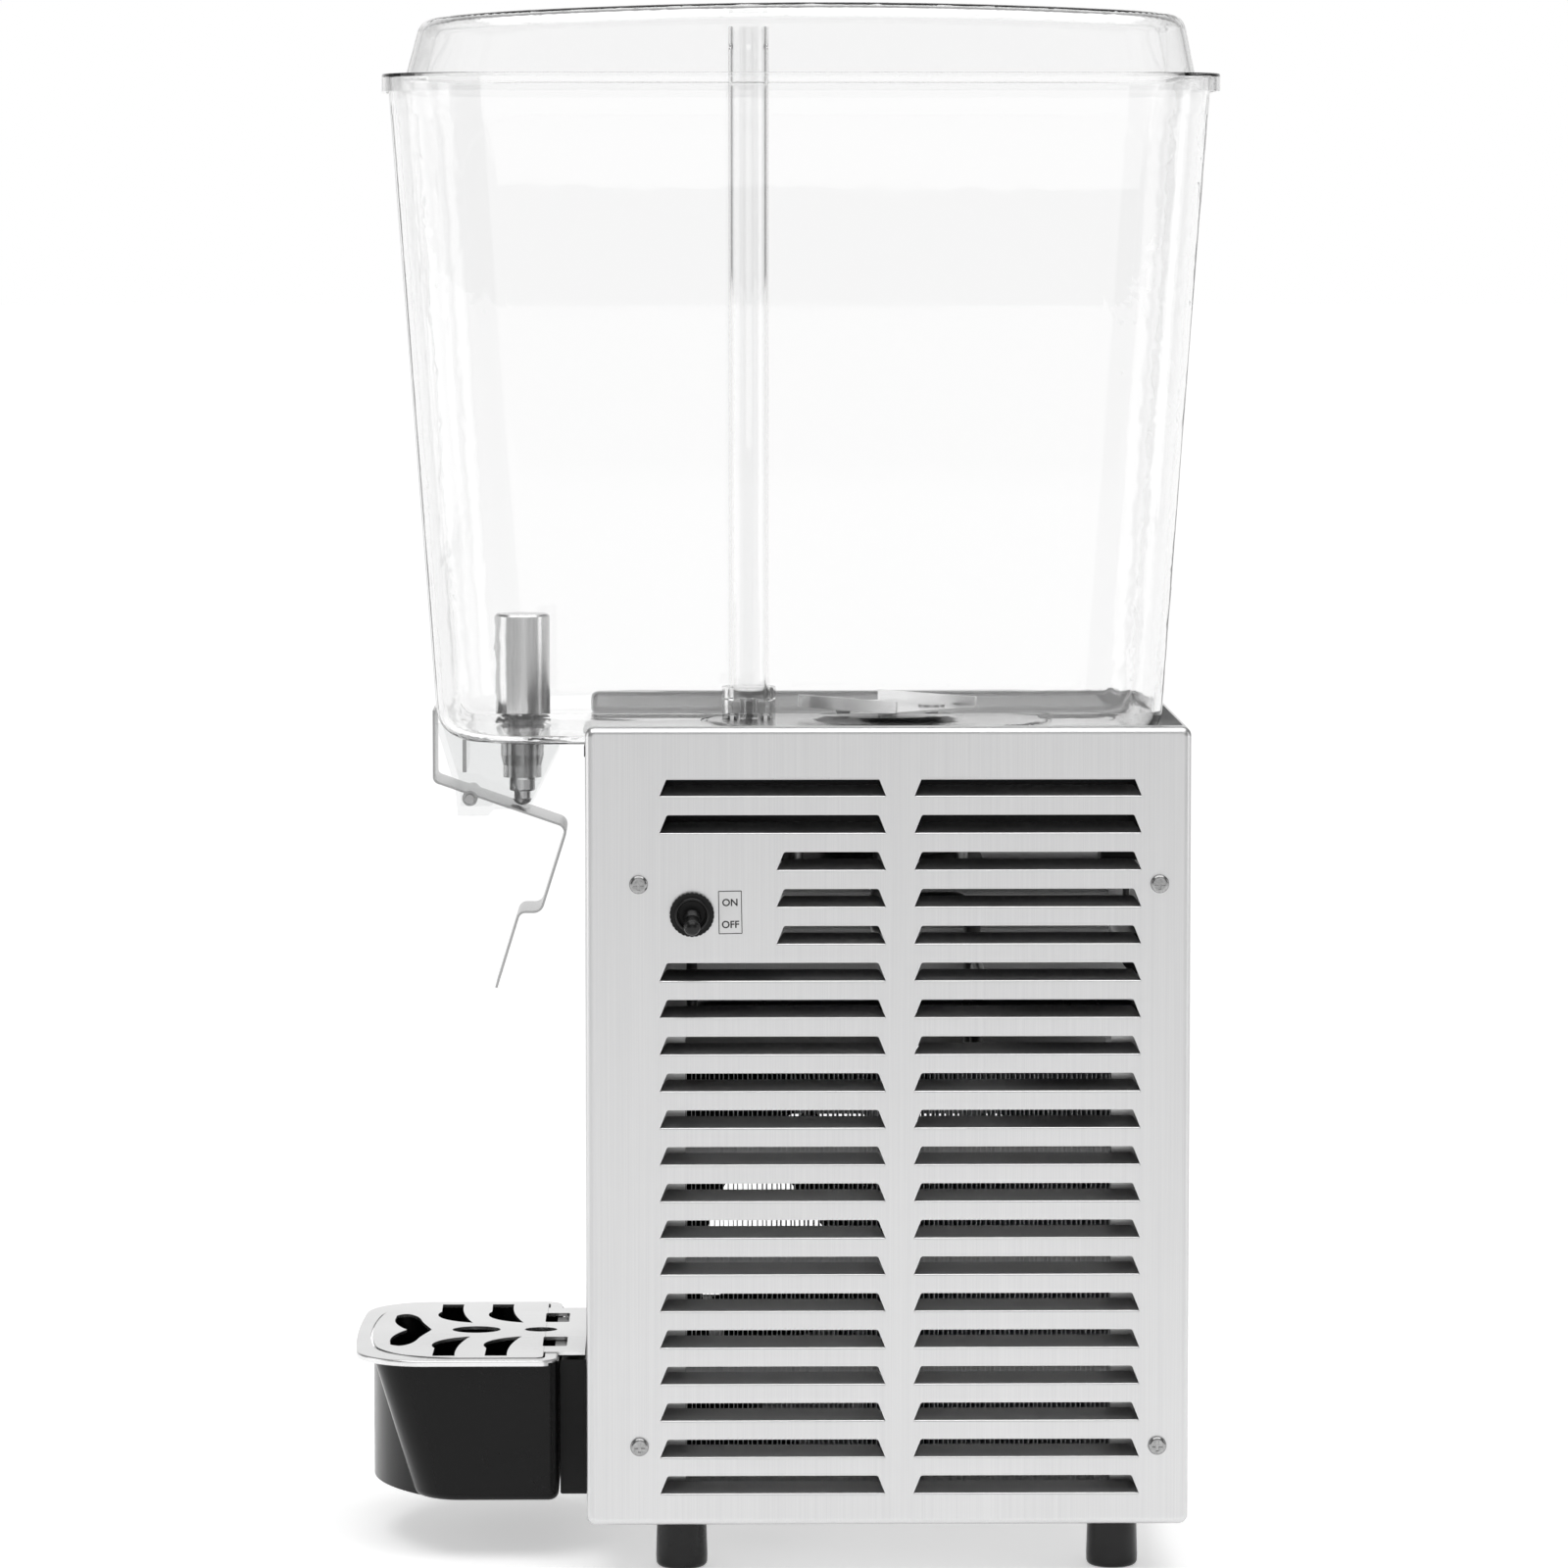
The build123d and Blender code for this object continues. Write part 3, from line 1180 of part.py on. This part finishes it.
HOOK_Z = 88.3
with BuildPart() as drip_tray:
    add(tray_form(0, TRAY_Z[0], TRAY_Z[1]))
    add(tray_form(TRAY_WALL, TRAY_Z[0] + TRAY_WALL, TRAY_Z[1]), mode=Mode.SUBTRACT)
    with Locations((0, TRAY_BACK_Y + 3, (HOOK_Z + TRAY_Z[1]) / 2)):
        Box(90, 6.5, TRAY_Z[1] - HOOK_Z)
    for x in (-74, 74):
        for y in (-176, -212):
            with Locations((x, y, 84)):
                Box(5, 6, 12)
drip_tray.part.label = "drip_tray"
export_step(drip_tray.part, "parts/drip_tray.step")

# Tray bracket: the black holder on the front panel that the tray's rear lip hooks over.
with BuildPart() as tray_bracket:
    with Locations((0, (TRAY_BACK_Y + 0.4 + FRONT_Y) / 2, (TRAY_Z[0] + HOOK_Z - 0.3) / 2)):
        Box(2 * TAB_HALF - 2, FRONT_Y - TRAY_BACK_Y - 0.4, HOOK_Z - 0.3 - TRAY_Z[0])
    fillet(tray_bracket.edges().filter_by(Axis.X), 1.0)
tray_bracket.part.label = "tray_bracket"
export_step(tray_bracket.part, "parts/tray_bracket.step")


def tray_plan(inset):
    """Plan of the tray's top: bowed front with round corners, straight sides."""
    return bowl_outline(RIM_HALF, RIM_FRONT_Y, RIM_BACK_Y, inset, 31, 8, 4)


def grille_plan(inset):
    """The opening inside the rim, with rounder front corners than the rim's outside."""
    half = RIM_HALF - RIM_BAND
    front = RIM_FRONT_Y + RIM_BAND + 0.6
    back = RIM_BACK_Y - RIM_BAND
    return bowl_outline(half, front, back, inset, 40, 4, 9)


# Rim: a bright band that caps the tray's edge, with a turned-down lip.
RIM_Z = (90.0, 91.4)
with BuildPart() as tray_rim:
    add(slab(tray_plan(0), RIM_Z[0] - 1.2, RIM_Z[1]))
    fillet(tray_rim.faces().sort_by(Axis.Z)[-1].edges(), 0.9)
    add(slab(tray_plan(1.0), RIM_Z[0] - 2, RIM_Z[0]), mode=Mode.SUBTRACT)
    add(slab(grille_plan(0), RIM_Z[0] - 2, RIM_Z[1] + 1), mode=Mode.SUBTRACT)
    with Locations((0, RIM_BACK_Y, sum(RIM_Z) / 2)):
        Box(2 * TAB_HALF + 1.6, 16, 6, mode=Mode.SUBTRACT)
    with Locations((0, RIM_BACK_Y, RIM_Z[0] - 1.5)):
        Box(2 * RIM_HALF - 2.2, 16, 3, mode=Mode.SUBTRACT)
tray_rim.part.label = "tray_rim"
export_step(tray_rim.part, "parts/tray_rim.step")


def leaf_cut(side, y):
    """One curved leaf opening: blunt at the outer end, pointed towards the middle."""
    with BuildSketch() as leaf:
        with BuildLine():
            Line((side * 71, y), (side * 71, y + 10))
            ThreePointArc((side * 71, y + 10), (side * 42, y + 11.2), (side * 19, y + 15.5))
            ThreePointArc((side * 19, y + 15.5), (side * 26, y + 4.8), (side * 50, y + 0.2))
            Line((side * 50, y + 0.2), (side * 71, y))
        make_face()
    return leaf.sketch


GRILLE_Z = (90.3, 91.8)
GRILLE_GAP = 0.9
TIP_Y = -210.3                  # rear point of the front opening
with BuildPart() as drip_grille:
    with BuildSketch(Plane.XY.offset(GRILLE_Z[0])):
        add(grille_plan(GRILLE_GAP))
        with Locations((0, -148.6)):
            Rectangle(2 * TAB_HALF, 18.6)
        with BuildLine():
            Spline((0, TIP_Y), (22, -215.2), (40, -219.6), (44, -223.6), tangents=((1, -0.2), (0.2, -1)))
            ThreePointArc((44, -223.6), (41.5, -226.8), (36, -227.8))
            ThreePointArc((36, -227.8), (16, -227.0), (0, -221.6))
            mirror(about=Plane.YZ)
        make_face(mode=Mode.SUBTRACT)
        for y in (-207.6, -184.2):
            for side in (-1, 1):
                add(leaf_cut(side, y), mode=Mode.SUBTRACT)
        with Locations((0, -189.8)):
            Ellipse(9, 11, mode=Mode.SUBTRACT)
        with Locations((0, -160.3)):
            Ellipse(6, 7.4, mode=Mode.SUBTRACT)
        with Locations((-33, -153.2), (33, -153.2)):
            RectangleRounded(25.5, 11, 1.5, mode=Mode.SUBTRACT)
    extrude(amount=GRILLE_Z[1] - GRILLE_Z[0])
drip_grille.part.label = "drip_grille"
export_step(drip_grille.part, "parts/drip_grille.step")
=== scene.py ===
import math
import bmesh
import bpy
from mathutils import Matrix, Vector


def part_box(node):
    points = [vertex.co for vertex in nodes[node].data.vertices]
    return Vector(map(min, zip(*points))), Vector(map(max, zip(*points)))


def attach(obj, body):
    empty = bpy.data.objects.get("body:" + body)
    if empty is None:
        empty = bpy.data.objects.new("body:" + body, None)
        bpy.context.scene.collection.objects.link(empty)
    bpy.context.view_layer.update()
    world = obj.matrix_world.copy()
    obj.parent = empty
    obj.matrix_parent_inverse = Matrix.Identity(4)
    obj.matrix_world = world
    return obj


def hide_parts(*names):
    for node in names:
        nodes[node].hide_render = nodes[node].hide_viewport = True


# Looks for the refrigerated drink dispenser. Metres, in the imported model's own frame.

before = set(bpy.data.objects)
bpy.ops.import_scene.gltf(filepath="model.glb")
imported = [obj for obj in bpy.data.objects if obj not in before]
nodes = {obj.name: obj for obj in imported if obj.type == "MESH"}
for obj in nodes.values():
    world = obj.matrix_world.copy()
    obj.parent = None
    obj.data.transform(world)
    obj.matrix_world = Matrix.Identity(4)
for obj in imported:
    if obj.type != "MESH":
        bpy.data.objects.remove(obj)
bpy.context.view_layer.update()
scene = bpy.context.scene
scene.view_settings.view_transform = "Standard"


# ================= materials =================

class Finish:
    """A Principled material, and the procedural patterns that vary it over the surface."""

    def __init__(self, name, colour, metallic=0.0, roughness=0.5, ior=1.5):
        self.material = bpy.data.materials.new(name)
        self.material.use_nodes = True
        self.tree = self.material.node_tree
        self.shader = self.tree.nodes["Principled BSDF"]
        self.set("Base Color", (*colour, 1.0))
        self.set("Metallic", metallic)
        self.set("Roughness", roughness)
        self.set("IOR", ior)
        self.place = self.node("ShaderNodeTexCoord").outputs["Object"]
        self.normal = None

    def node(self, kind, **values):
        made = self.tree.nodes.new(kind)
        for key, value in values.items():
            setattr(made, key, value)
        return made

    def set(self, socket, value):
        self.shader.inputs[socket].default_value = value
        return self

    def noise(self, scale, stretch=(1, 1, 1), detail=4.0, rough=0.55, distortion=0.0):
        mapping = self.node("ShaderNodeMapping")
        mapping.inputs["Scale"].default_value = stretch
        self.tree.links.new(self.place, mapping.inputs["Vector"])
        noise = self.node("ShaderNodeTexNoise")
        noise.inputs["Scale"].default_value = scale
        noise.inputs["Detail"].default_value = detail
        noise.inputs["Roughness"].default_value = rough
        noise.inputs["Distortion"].default_value = distortion
        self.tree.links.new(mapping.outputs["Vector"], noise.inputs["Vector"])
        return noise.outputs["Fac"]

    def span(self, pattern, low, high, start=0.3, end=0.7):
        """The pattern's values from start to end, spread over low to high."""
        spread = self.node("ShaderNodeMapRange")
        for key, value in zip(("From Min", "From Max", "To Min", "To Max"), (start, end, low, high)):
            spread.inputs[key].default_value = value
        self.tree.links.new(pattern, spread.inputs["Value"])
        return spread.outputs["Result"]

    def roughen(self, pattern, low, high, start=0.3, end=0.7):
        self.tree.links.new(self.span(pattern, low, high, start, end), self.shader.inputs["Roughness"])
        return self

    def tint(self, pattern, first, second, start=0.3, end=0.7):
        """The base colour runs from first to second with the pattern."""
        ramp = self.node("ShaderNodeValToRGB")
        ramp.color_ramp.elements[0].position = start
        ramp.color_ramp.elements[0].color = (*first, 1)
        ramp.color_ramp.elements[1].position = end
        ramp.color_ramp.elements[1].color = (*second, 1)
        self.tree.links.new(pattern, ramp.inputs["Fac"])
        self.tree.links.new(ramp.outputs["Color"], self.shader.inputs["Base Color"])
        return self

    def bump(self, pattern, depth, strength=1.0):
        """Raises the surface by up to depth metres."""
        bump = self.node("ShaderNodeBump")
        bump.inputs["Strength"].default_value = strength
        bump.inputs["Distance"].default_value = depth
        self.tree.links.new(pattern, bump.inputs["Height"])
        if self.normal:
            self.tree.links.new(self.normal, bump.inputs["Normal"])
        self.normal = bump.outputs["Normal"]
        self.tree.links.new(self.normal, self.shader.inputs["Normal"])
        return self


def brushed(name, light, dark, stretch, roughness=(0.30, 0.42), depth=0.000012, metallic=1.0):
    """Sheet steel with fine brush lines along the axis whose stretch is small, and faint clouds."""
    f = Finish(name, light, metallic, roughness[0])
    lines = f.noise(1.0, stretch, 3.0, 0.6)
    f.tint(lines, dark, light, 0.25, 0.75)
    f.roughen(f.noise(9.0, (1, 1, 0.5), 3.0), *roughness)
    return f.bump(lines, depth)


def moulded(name, colour, roughness, grain=900.0, depth=0.00002, spread=0.06, wear=1.6, gloss=0.3):
    """Moulded plastic or rubber: fine grain, slightly uneven gloss, a touch of handling wear."""
    f = Finish(name, colour, 0.0, roughness)
    clouds = f.noise(28.0, (1, 1, 1), 5.0, 0.6)
    f.tint(clouds, colour, tuple(min(1.0, c * wear) for c in colour), 0.35, 0.85)
    f.roughen(clouds, roughness - spread, roughness + spread)
    f.set("Specular IOR Level", gloss)
    return f.bump(f.noise(grain, (1, 1, 1), 2.0), depth)


def clear(name, colour, roughness=0.01, density=7.0, ior=1.49):
    """Clear moulded plastic with faint flow marks and wiped smears."""
    f = Finish(name, colour, 0.0, roughness, ior)
    f.set("Transmission Weight", 1.0)
    smears = f.noise(14.0, (1, 1, 0.35), 5.0, 0.6, 0.4)
    f.roughen(smears, roughness, roughness + 0.03, 0.45, 0.8)
    body = f.node("ShaderNodeVolumeAbsorption")
    body.inputs["Color"].default_value = (0.5, 0.5, 0.5, 1)
    body.inputs["Density"].default_value = density
    f.tree.links.new(body.outputs["Volume"], f.tree.nodes["Material Output"].inputs["Volume"])
    return f.bump(f.noise(18.0, (1, 1, 0.4), 2.0), 0.00006)


def painted(name, colour, roughness):
    """Stoved paint with light orange peel."""
    f = Finish(name, colour, 0.0, roughness)
    f.set("Coat Weight", 0.25)
    f.set("Coat Roughness", 0.2)
    f.roughen(f.noise(40.0), roughness - 0.06, roughness + 0.06)
    return f.bump(f.noise(350.0, detail=2.0), 0.00003)


ALONG_Z = (2300, 2300, 9)
ALONG_Y = (2300, 9, 2300)
ALONG_X = (9, 2300, 2300)
panel_steel = brushed("panel_steel", (0.66, 0.66, 0.66), (0.60, 0.60, 0.605), ALONG_Z, (0.28, 0.36))
deck_steel = brushed("deck_steel", (0.66, 0.66, 0.66), (0.50, 0.50, 0.50), ALONG_Y, (0.25, 0.36))
inner_steel = brushed("inner_steel", (0.52, 0.52, 0.52), (0.36, 0.36, 0.36), ALONG_Y, (0.35, 0.5))
lever_steel = brushed("lever_steel", (0.42, 0.42, 0.42), (0.34, 0.34, 0.34), ALONG_X, (0.16, 0.26))
slug_steel = brushed("slug_steel", (0.66, 0.66, 0.66), (0.50, 0.50, 0.50), (3000, 3000, 20), (0.14, 0.22))
grille_steel = brushed("grille_steel", (0.78, 0.78, 0.78), (0.70, 0.70, 0.70), ALONG_Y, (0.2, 0.3))
plate_steel = brushed("plate_steel", (0.62, 0.62, 0.62), (0.48, 0.48, 0.48), ALONG_X, (0.18, 0.3))
screw_steel = brushed("screw_steel", (0.42, 0.42, 0.42), (0.24, 0.24, 0.24), (900, 900, 900), (0.1, 0.2))
black_rubber = moulded("black_rubber", (0.005, 0.005, 0.005), 0.26, 1400, 0.00002)
black_plastic = moulded("black_plastic", (0.005, 0.005, 0.005), 0.34, 1100, 0.000015, gloss=0.2)
tray_plastic = moulded("tray_plastic", (0.004, 0.004, 0.004), 0.2, 1500, 0.00001, gloss=0.16)
clear_plastic = clear("clear_plastic", (0.985, 0.985, 0.985))
clear_housing = clear("clear_housing", (0.93, 0.935, 0.935), 0.03, 45.0)
frosted = clear("frosted_plastic", (0.80, 0.80, 0.80), 0.16, 40.0)
pipe_paint = painted("pipe_paint", (0.03, 0.03, 0.03), 0.35)
fin_metal = brushed("fin_metal", (0.96, 0.96, 0.96), (0.88, 0.88, 0.88), (900, 60, 900),
                    (0.35, 0.5), metallic=0.1)
compressor_paint = painted("compressor_paint", (0.012, 0.012, 0.012), 0.32)
motor_paint = painted("motor_paint", (0.10, 0.10, 0.105), 0.4)
foam = moulded("foam", (0.02, 0.02, 0.021), 0.85, 600, 0.0004, 0.05, 1.3)
terminal_plastic = moulded("terminal_plastic", (0.60, 0.58, 0.52), 0.5, 900, 0.00002, 0.06, 1.1)
label_white = moulded("label_white", (0.64, 0.64, 0.64), 0.42, 700, 0.000006, 0.05, 1.05)
ink = moulded("ink", (0.015, 0.015, 0.015), 0.5, 900, 0.000003)

FINISHES = {
    panel_steel: ["side_panel_right", "side_panel_left", "front_panel", "rear_panel"],
    deck_steel: ["deck_plate"],
    inner_steel: ["base_pan", "motor_plate", "fan_bracket", "condenser_plates"],
    lever_steel: ["lever", "lever_pin", "drive_pins"],
    slug_steel: ["valve_weight"],
    grille_steel: ["drip_grille", "tray_rim", "paddle"],
    plate_steel: ["evaporator_plate", "paddle_magnets"],
    screw_steel: ["panel_screws", "foot_screws"],
    black_rubber: ["switch_toggle", "feet", "corner_plug", "compressor_bushes", "switch_boot",
                   "wiring_loom"],
    black_plastic: ["bowl_catch", "tray_bracket", "cord_gland", "terminal_cover", "switch_body",
                    "thermostat", "fan_blades", "switch_nut", "fan_shroud"],
    tray_plastic: ["drip_tray"],
    clear_plastic: ["bowl", "lid", "spray_tube", "pump_housing"],
    clear_housing: ["tap_housing", "bowl_gasket"],
    frosted: ["spout", "valve_seat", "pump_impeller"],
    pipe_paint: ["refrigerant_lines", "evaporator_coil", "filter_drier"],
    fin_metal: ["condenser_fins", "condenser_tubes"],
    compressor_paint: ["compressor_shell"],
    motor_paint: ["fan_motor", "paddle_motor", "pump_motor", "paddle_rotor", "pump_rotor"],
    foam: ["foam_insulation"],
    terminal_plastic: ["terminal_block"],
    label_white: ["switch_label"],
}


def dress(obj, finish):
    """Gives an object one material all over."""
    obj.data.materials.clear()
    obj.data.materials.append(finish.material)
    return obj


for finish, names in FINISHES.items():
    for name in names:
        dress(nodes[name], finish)


# ================= pieces made here =================

def piece(name, mesh, finish, body):
    """Links a new mesh as a named piece that rides on a body."""
    obj = bpy.data.objects.new(name, mesh)
    scene.collection.objects.link(obj)
    dress(obj, finish)
    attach(obj, body)
    return obj


def box_into(bm, low, high):
    """Adds an upright box between two corners."""
    size = [b - a for a, b in zip(low, high)]
    middle = [(a + b) / 2 for a, b in zip(low, high)]
    turn = Matrix.Translation(middle) @ Matrix.Diagonal((*size, 1))
    bmesh.ops.create_cube(bm, size=1.0, matrix=turn)


FIN_COUNT = 90
FIN_SHEET = 0.00018
FIN_MARGIN = 0.00015            # from the pack's end faces to the first and last sheet
FIN_STEPS = 24                  # lengths that each sheet is drawn in, up its height


def condenser_fins():
    """The fin pack: thin crimped sheets across the tubes, one every 2.1 mm."""
    low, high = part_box("condenser_fins")
    pitch = (high.y - low.y - 2 * FIN_MARGIN) / (FIN_COUNT - 1)
    corners = (
        (high.x, -FIN_SHEET / 2), (high.x, FIN_SHEET / 2),
        (low.x, FIN_SHEET / 2), (low.x, -FIN_SHEET / 2),
    )
    bm = bmesh.new()
    for k in range(FIN_COUNT):
        y = low.y + FIN_MARGIN + k * pitch
        lean = 0.00022 * math.sin(k * 2.1) + 0.0002 * math.sin(k * 0.37 + 1.0)
        rings = []
        for step in range(FIN_STEPS + 1):
            z = low.z + (high.z - low.z) * step / FIN_STEPS
            wave = lean + 0.00012 * math.sin(step * 1.3 + k * 0.9)
            rings.append([bm.verts.new((x, y + wave + dy, z)) for x, dy in corners])
        for a, b in zip(rings, rings[1:]):
            for i in range(4):
                bm.faces.new((a[i], a[(i + 1) % 4], b[(i + 1) % 4], b[i]))
    mesh = bpy.data.meshes.new("condenser_fin_sheets")
    bm.normal_update()
    bm.to_mesh(mesh)
    bm.free()
    fins = piece("condenser_fin_sheets", mesh, fin_metal, "cabinet")
    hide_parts("condenser_fins")


LABEL_HALF = (0.00500, 0.00935)     # the frame line's half width and half height
LABEL_LINE = 0.00034
LABEL_TILT = 1.0                    # degrees; the label is stuck on slightly crooked
PRINT_HALF = 0.00002                # half thickness of the print
LETTER_SIZE = 0.0044
WORDS = (("ON", 0.0042), ("OFF", -0.0055))


def label_place():
    """The label's face, with its crooked turn."""
    low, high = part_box("switch_label")
    centre = Vector((high.x + 0.00003, (low.y + high.y) / 2, (low.z + high.z) / 2))
    return Matrix.Translation(centre) @ Matrix.Rotation(math.radians(LABEL_TILT), 4, "X")


def label_frame(place):
    """The black line around the label."""
    half_y, half_z = LABEL_HALF
    bm = bmesh.new()
    for y in (-half_y, half_y):
        low = (-PRINT_HALF, y - LABEL_LINE / 2, -half_z)
        box_into(bm, low, (PRINT_HALF, y + LABEL_LINE / 2, half_z))
    for z in (-half_z, half_z):
        low = (-PRINT_HALF, -half_y, z - LABEL_LINE / 2)
        box_into(bm, low, (PRINT_HALF, half_y, z + LABEL_LINE / 2))
    mesh = bpy.data.meshes.new("label_frame")
    bm.to_mesh(mesh)
    bm.free()
    mesh.transform(place)
    piece("label_frame", mesh, ink, "cabinet")


def label_word(place, word, height):
    """One printed word, at a height above the label's middle."""
    curve = bpy.data.curves.new(f"label_{word.lower()}", "FONT")
    curve.body = word
    curve.size = LETTER_SIZE
    curve.align_x = "CENTER"
    curve.align_y = "CENTER"
    curve.extrude = PRINT_HALF
    curve.offset = 0.00008
    upright = Matrix.Rotation(math.radians(90), 4, "Z") @ Matrix.Rotation(math.radians(90), 4, "X")
    text = bpy.data.objects.new(f"label_{word.lower()}", curve)
    scene.collection.objects.link(text)
    text.matrix_world = place @ Matrix.Translation((0, 0, height)) @ upright
    dress(text, ink)
    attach(text, "cabinet")


condenser_fins()
face = label_place()
label_frame(face)
for word, height in WORDS:
    label_word(face, word, height)


# ================= studio =================

FLOOR_HALF = 40.0
FLOOR_FAR_X = -3.0              # from here back the floor only glows, and meets the white world
FLOOR_NEAR_X = -0.2             # from here forwards it is ordinary pale paint with a faint glow


def build_floor():
    """A plain pale floor."""
    mesh = bpy.data.meshes.new("floor")
    corners = [(x * FLOOR_HALF, y * FLOOR_HALF, 0) for x, y in ((-1, -1), (1, -1), (1, 1), (-1, 1))]
    mesh.from_pydata(corners, [], [(0, 1, 2, 3)])
    floor = bpy.data.objects.new("floor", mesh)
    scene.collection.objects.link(floor)
    finish = Finish("floor_white", (0.93, 0.93, 0.93), 0.0, 0.7)
    finish.set("Emission Color", (1, 1, 1, 1))
    split = finish.node("ShaderNodeSeparateXYZ")
    finish.tree.links.new(finish.place, split.inputs["Vector"])
    glow = finish.span(split.outputs["X"], 1.0, 0.45, FLOOR_FAR_X, FLOOR_NEAR_X)
    near = finish.span(split.outputs["X"], 0.0, 1.0, FLOOR_FAR_X, FLOOR_NEAR_X)
    finish.tint(near, (0, 0, 0), (0.93, 0.93, 0.93), 0.0, 1.0)
    finish.tree.links.new(glow, finish.shader.inputs["Emission Strength"])
    finish.set("Specular IOR Level", 0.1)
    dress(floor, finish)


def area_light(name, place, aim, size, power):
    data = bpy.data.lights.new(name, "AREA")
    data.shape = "RECTANGLE"
    data.size, data.size_y = size
    data.energy = power
    light = bpy.data.objects.new(name, data)
    light.location = place
    light.rotation_euler = (Vector(aim) - Vector(place)).to_track_quat("-Z", "Y").to_euler()
    scene.collection.objects.link(light)


def build_world():
    """White behind the object, dim in reflections and where clear plastic bends the view."""
    world = bpy.data.worlds.new("studio")
    world.use_nodes = True
    tree = world.node_tree
    rays = tree.nodes.new("ShaderNodeLightPath")
    split = tree.nodes.new("ShaderNodeSeparateXYZ")
    tree.links.new(tree.nodes.new("ShaderNodeTexCoord").outputs["Generated"], split.inputs["Vector"])
    behind = tree.nodes.new("ShaderNodeMapRange")
    behind.inputs["From Min"].default_value = -0.70
    behind.inputs["From Max"].default_value = -0.95
    tree.links.new(split.outputs["X"], behind.inputs["Value"])
    bright = tree.nodes.new("ShaderNodeMath")
    bright.operation = "MAXIMUM"
    tree.links.new(rays.outputs["Is Camera Ray"], bright.inputs[0])
    tree.links.new(behind.outputs["Result"], bright.inputs[1])
    strength = tree.nodes.new("ShaderNodeMapRange")
    strength.inputs["To Min"].default_value = 0.24
    strength.inputs["To Max"].default_value = 1.0
    tree.links.new(bright.outputs["Value"], strength.inputs["Value"])
    background = tree.nodes["Background"]
    background.inputs["Color"].default_value = (1, 1, 1, 1)
    tree.links.new(strength.outputs["Result"], background.inputs["Strength"])
    scene.world = world


def build_camera():
    data = bpy.data.cameras.new("camera")
    data.lens = 154.55
    data.sensor_width = 36.0
    data.clip_end = 100.0
    camera = bpy.data.objects.new("camera", data)
    camera.location = (3.05325, -0.0977, 0.60247)
    ahead = Vector((-0.99627, 0.01590, -0.08486))
    camera.rotation_euler = ahead.to_track_quat("-Z", "Y").to_euler()
    scene.collection.objects.link(camera)
    scene.camera = camera


build_floor()
build_world()
# Name, place, aim, size, and power in watts.
area_light("overhead", (0.6, 0.0, 2.6), (0, 0, 0.2), (3.0, 3.0), 60)
area_light("front_box", (4.6, 0.3, 1.3), (0, 0, 0.3), (3.2, 2.0), 14)
area_light("side_low_y", (0.0, -3.0, 0.9), (0, 0, 0.35), (2.0, 1.8), 13)
area_light("side_high_y", (0.6, 3.0, 0.9), (0, 0, 0.35), (1.0, 1.8), 8)
build_camera()
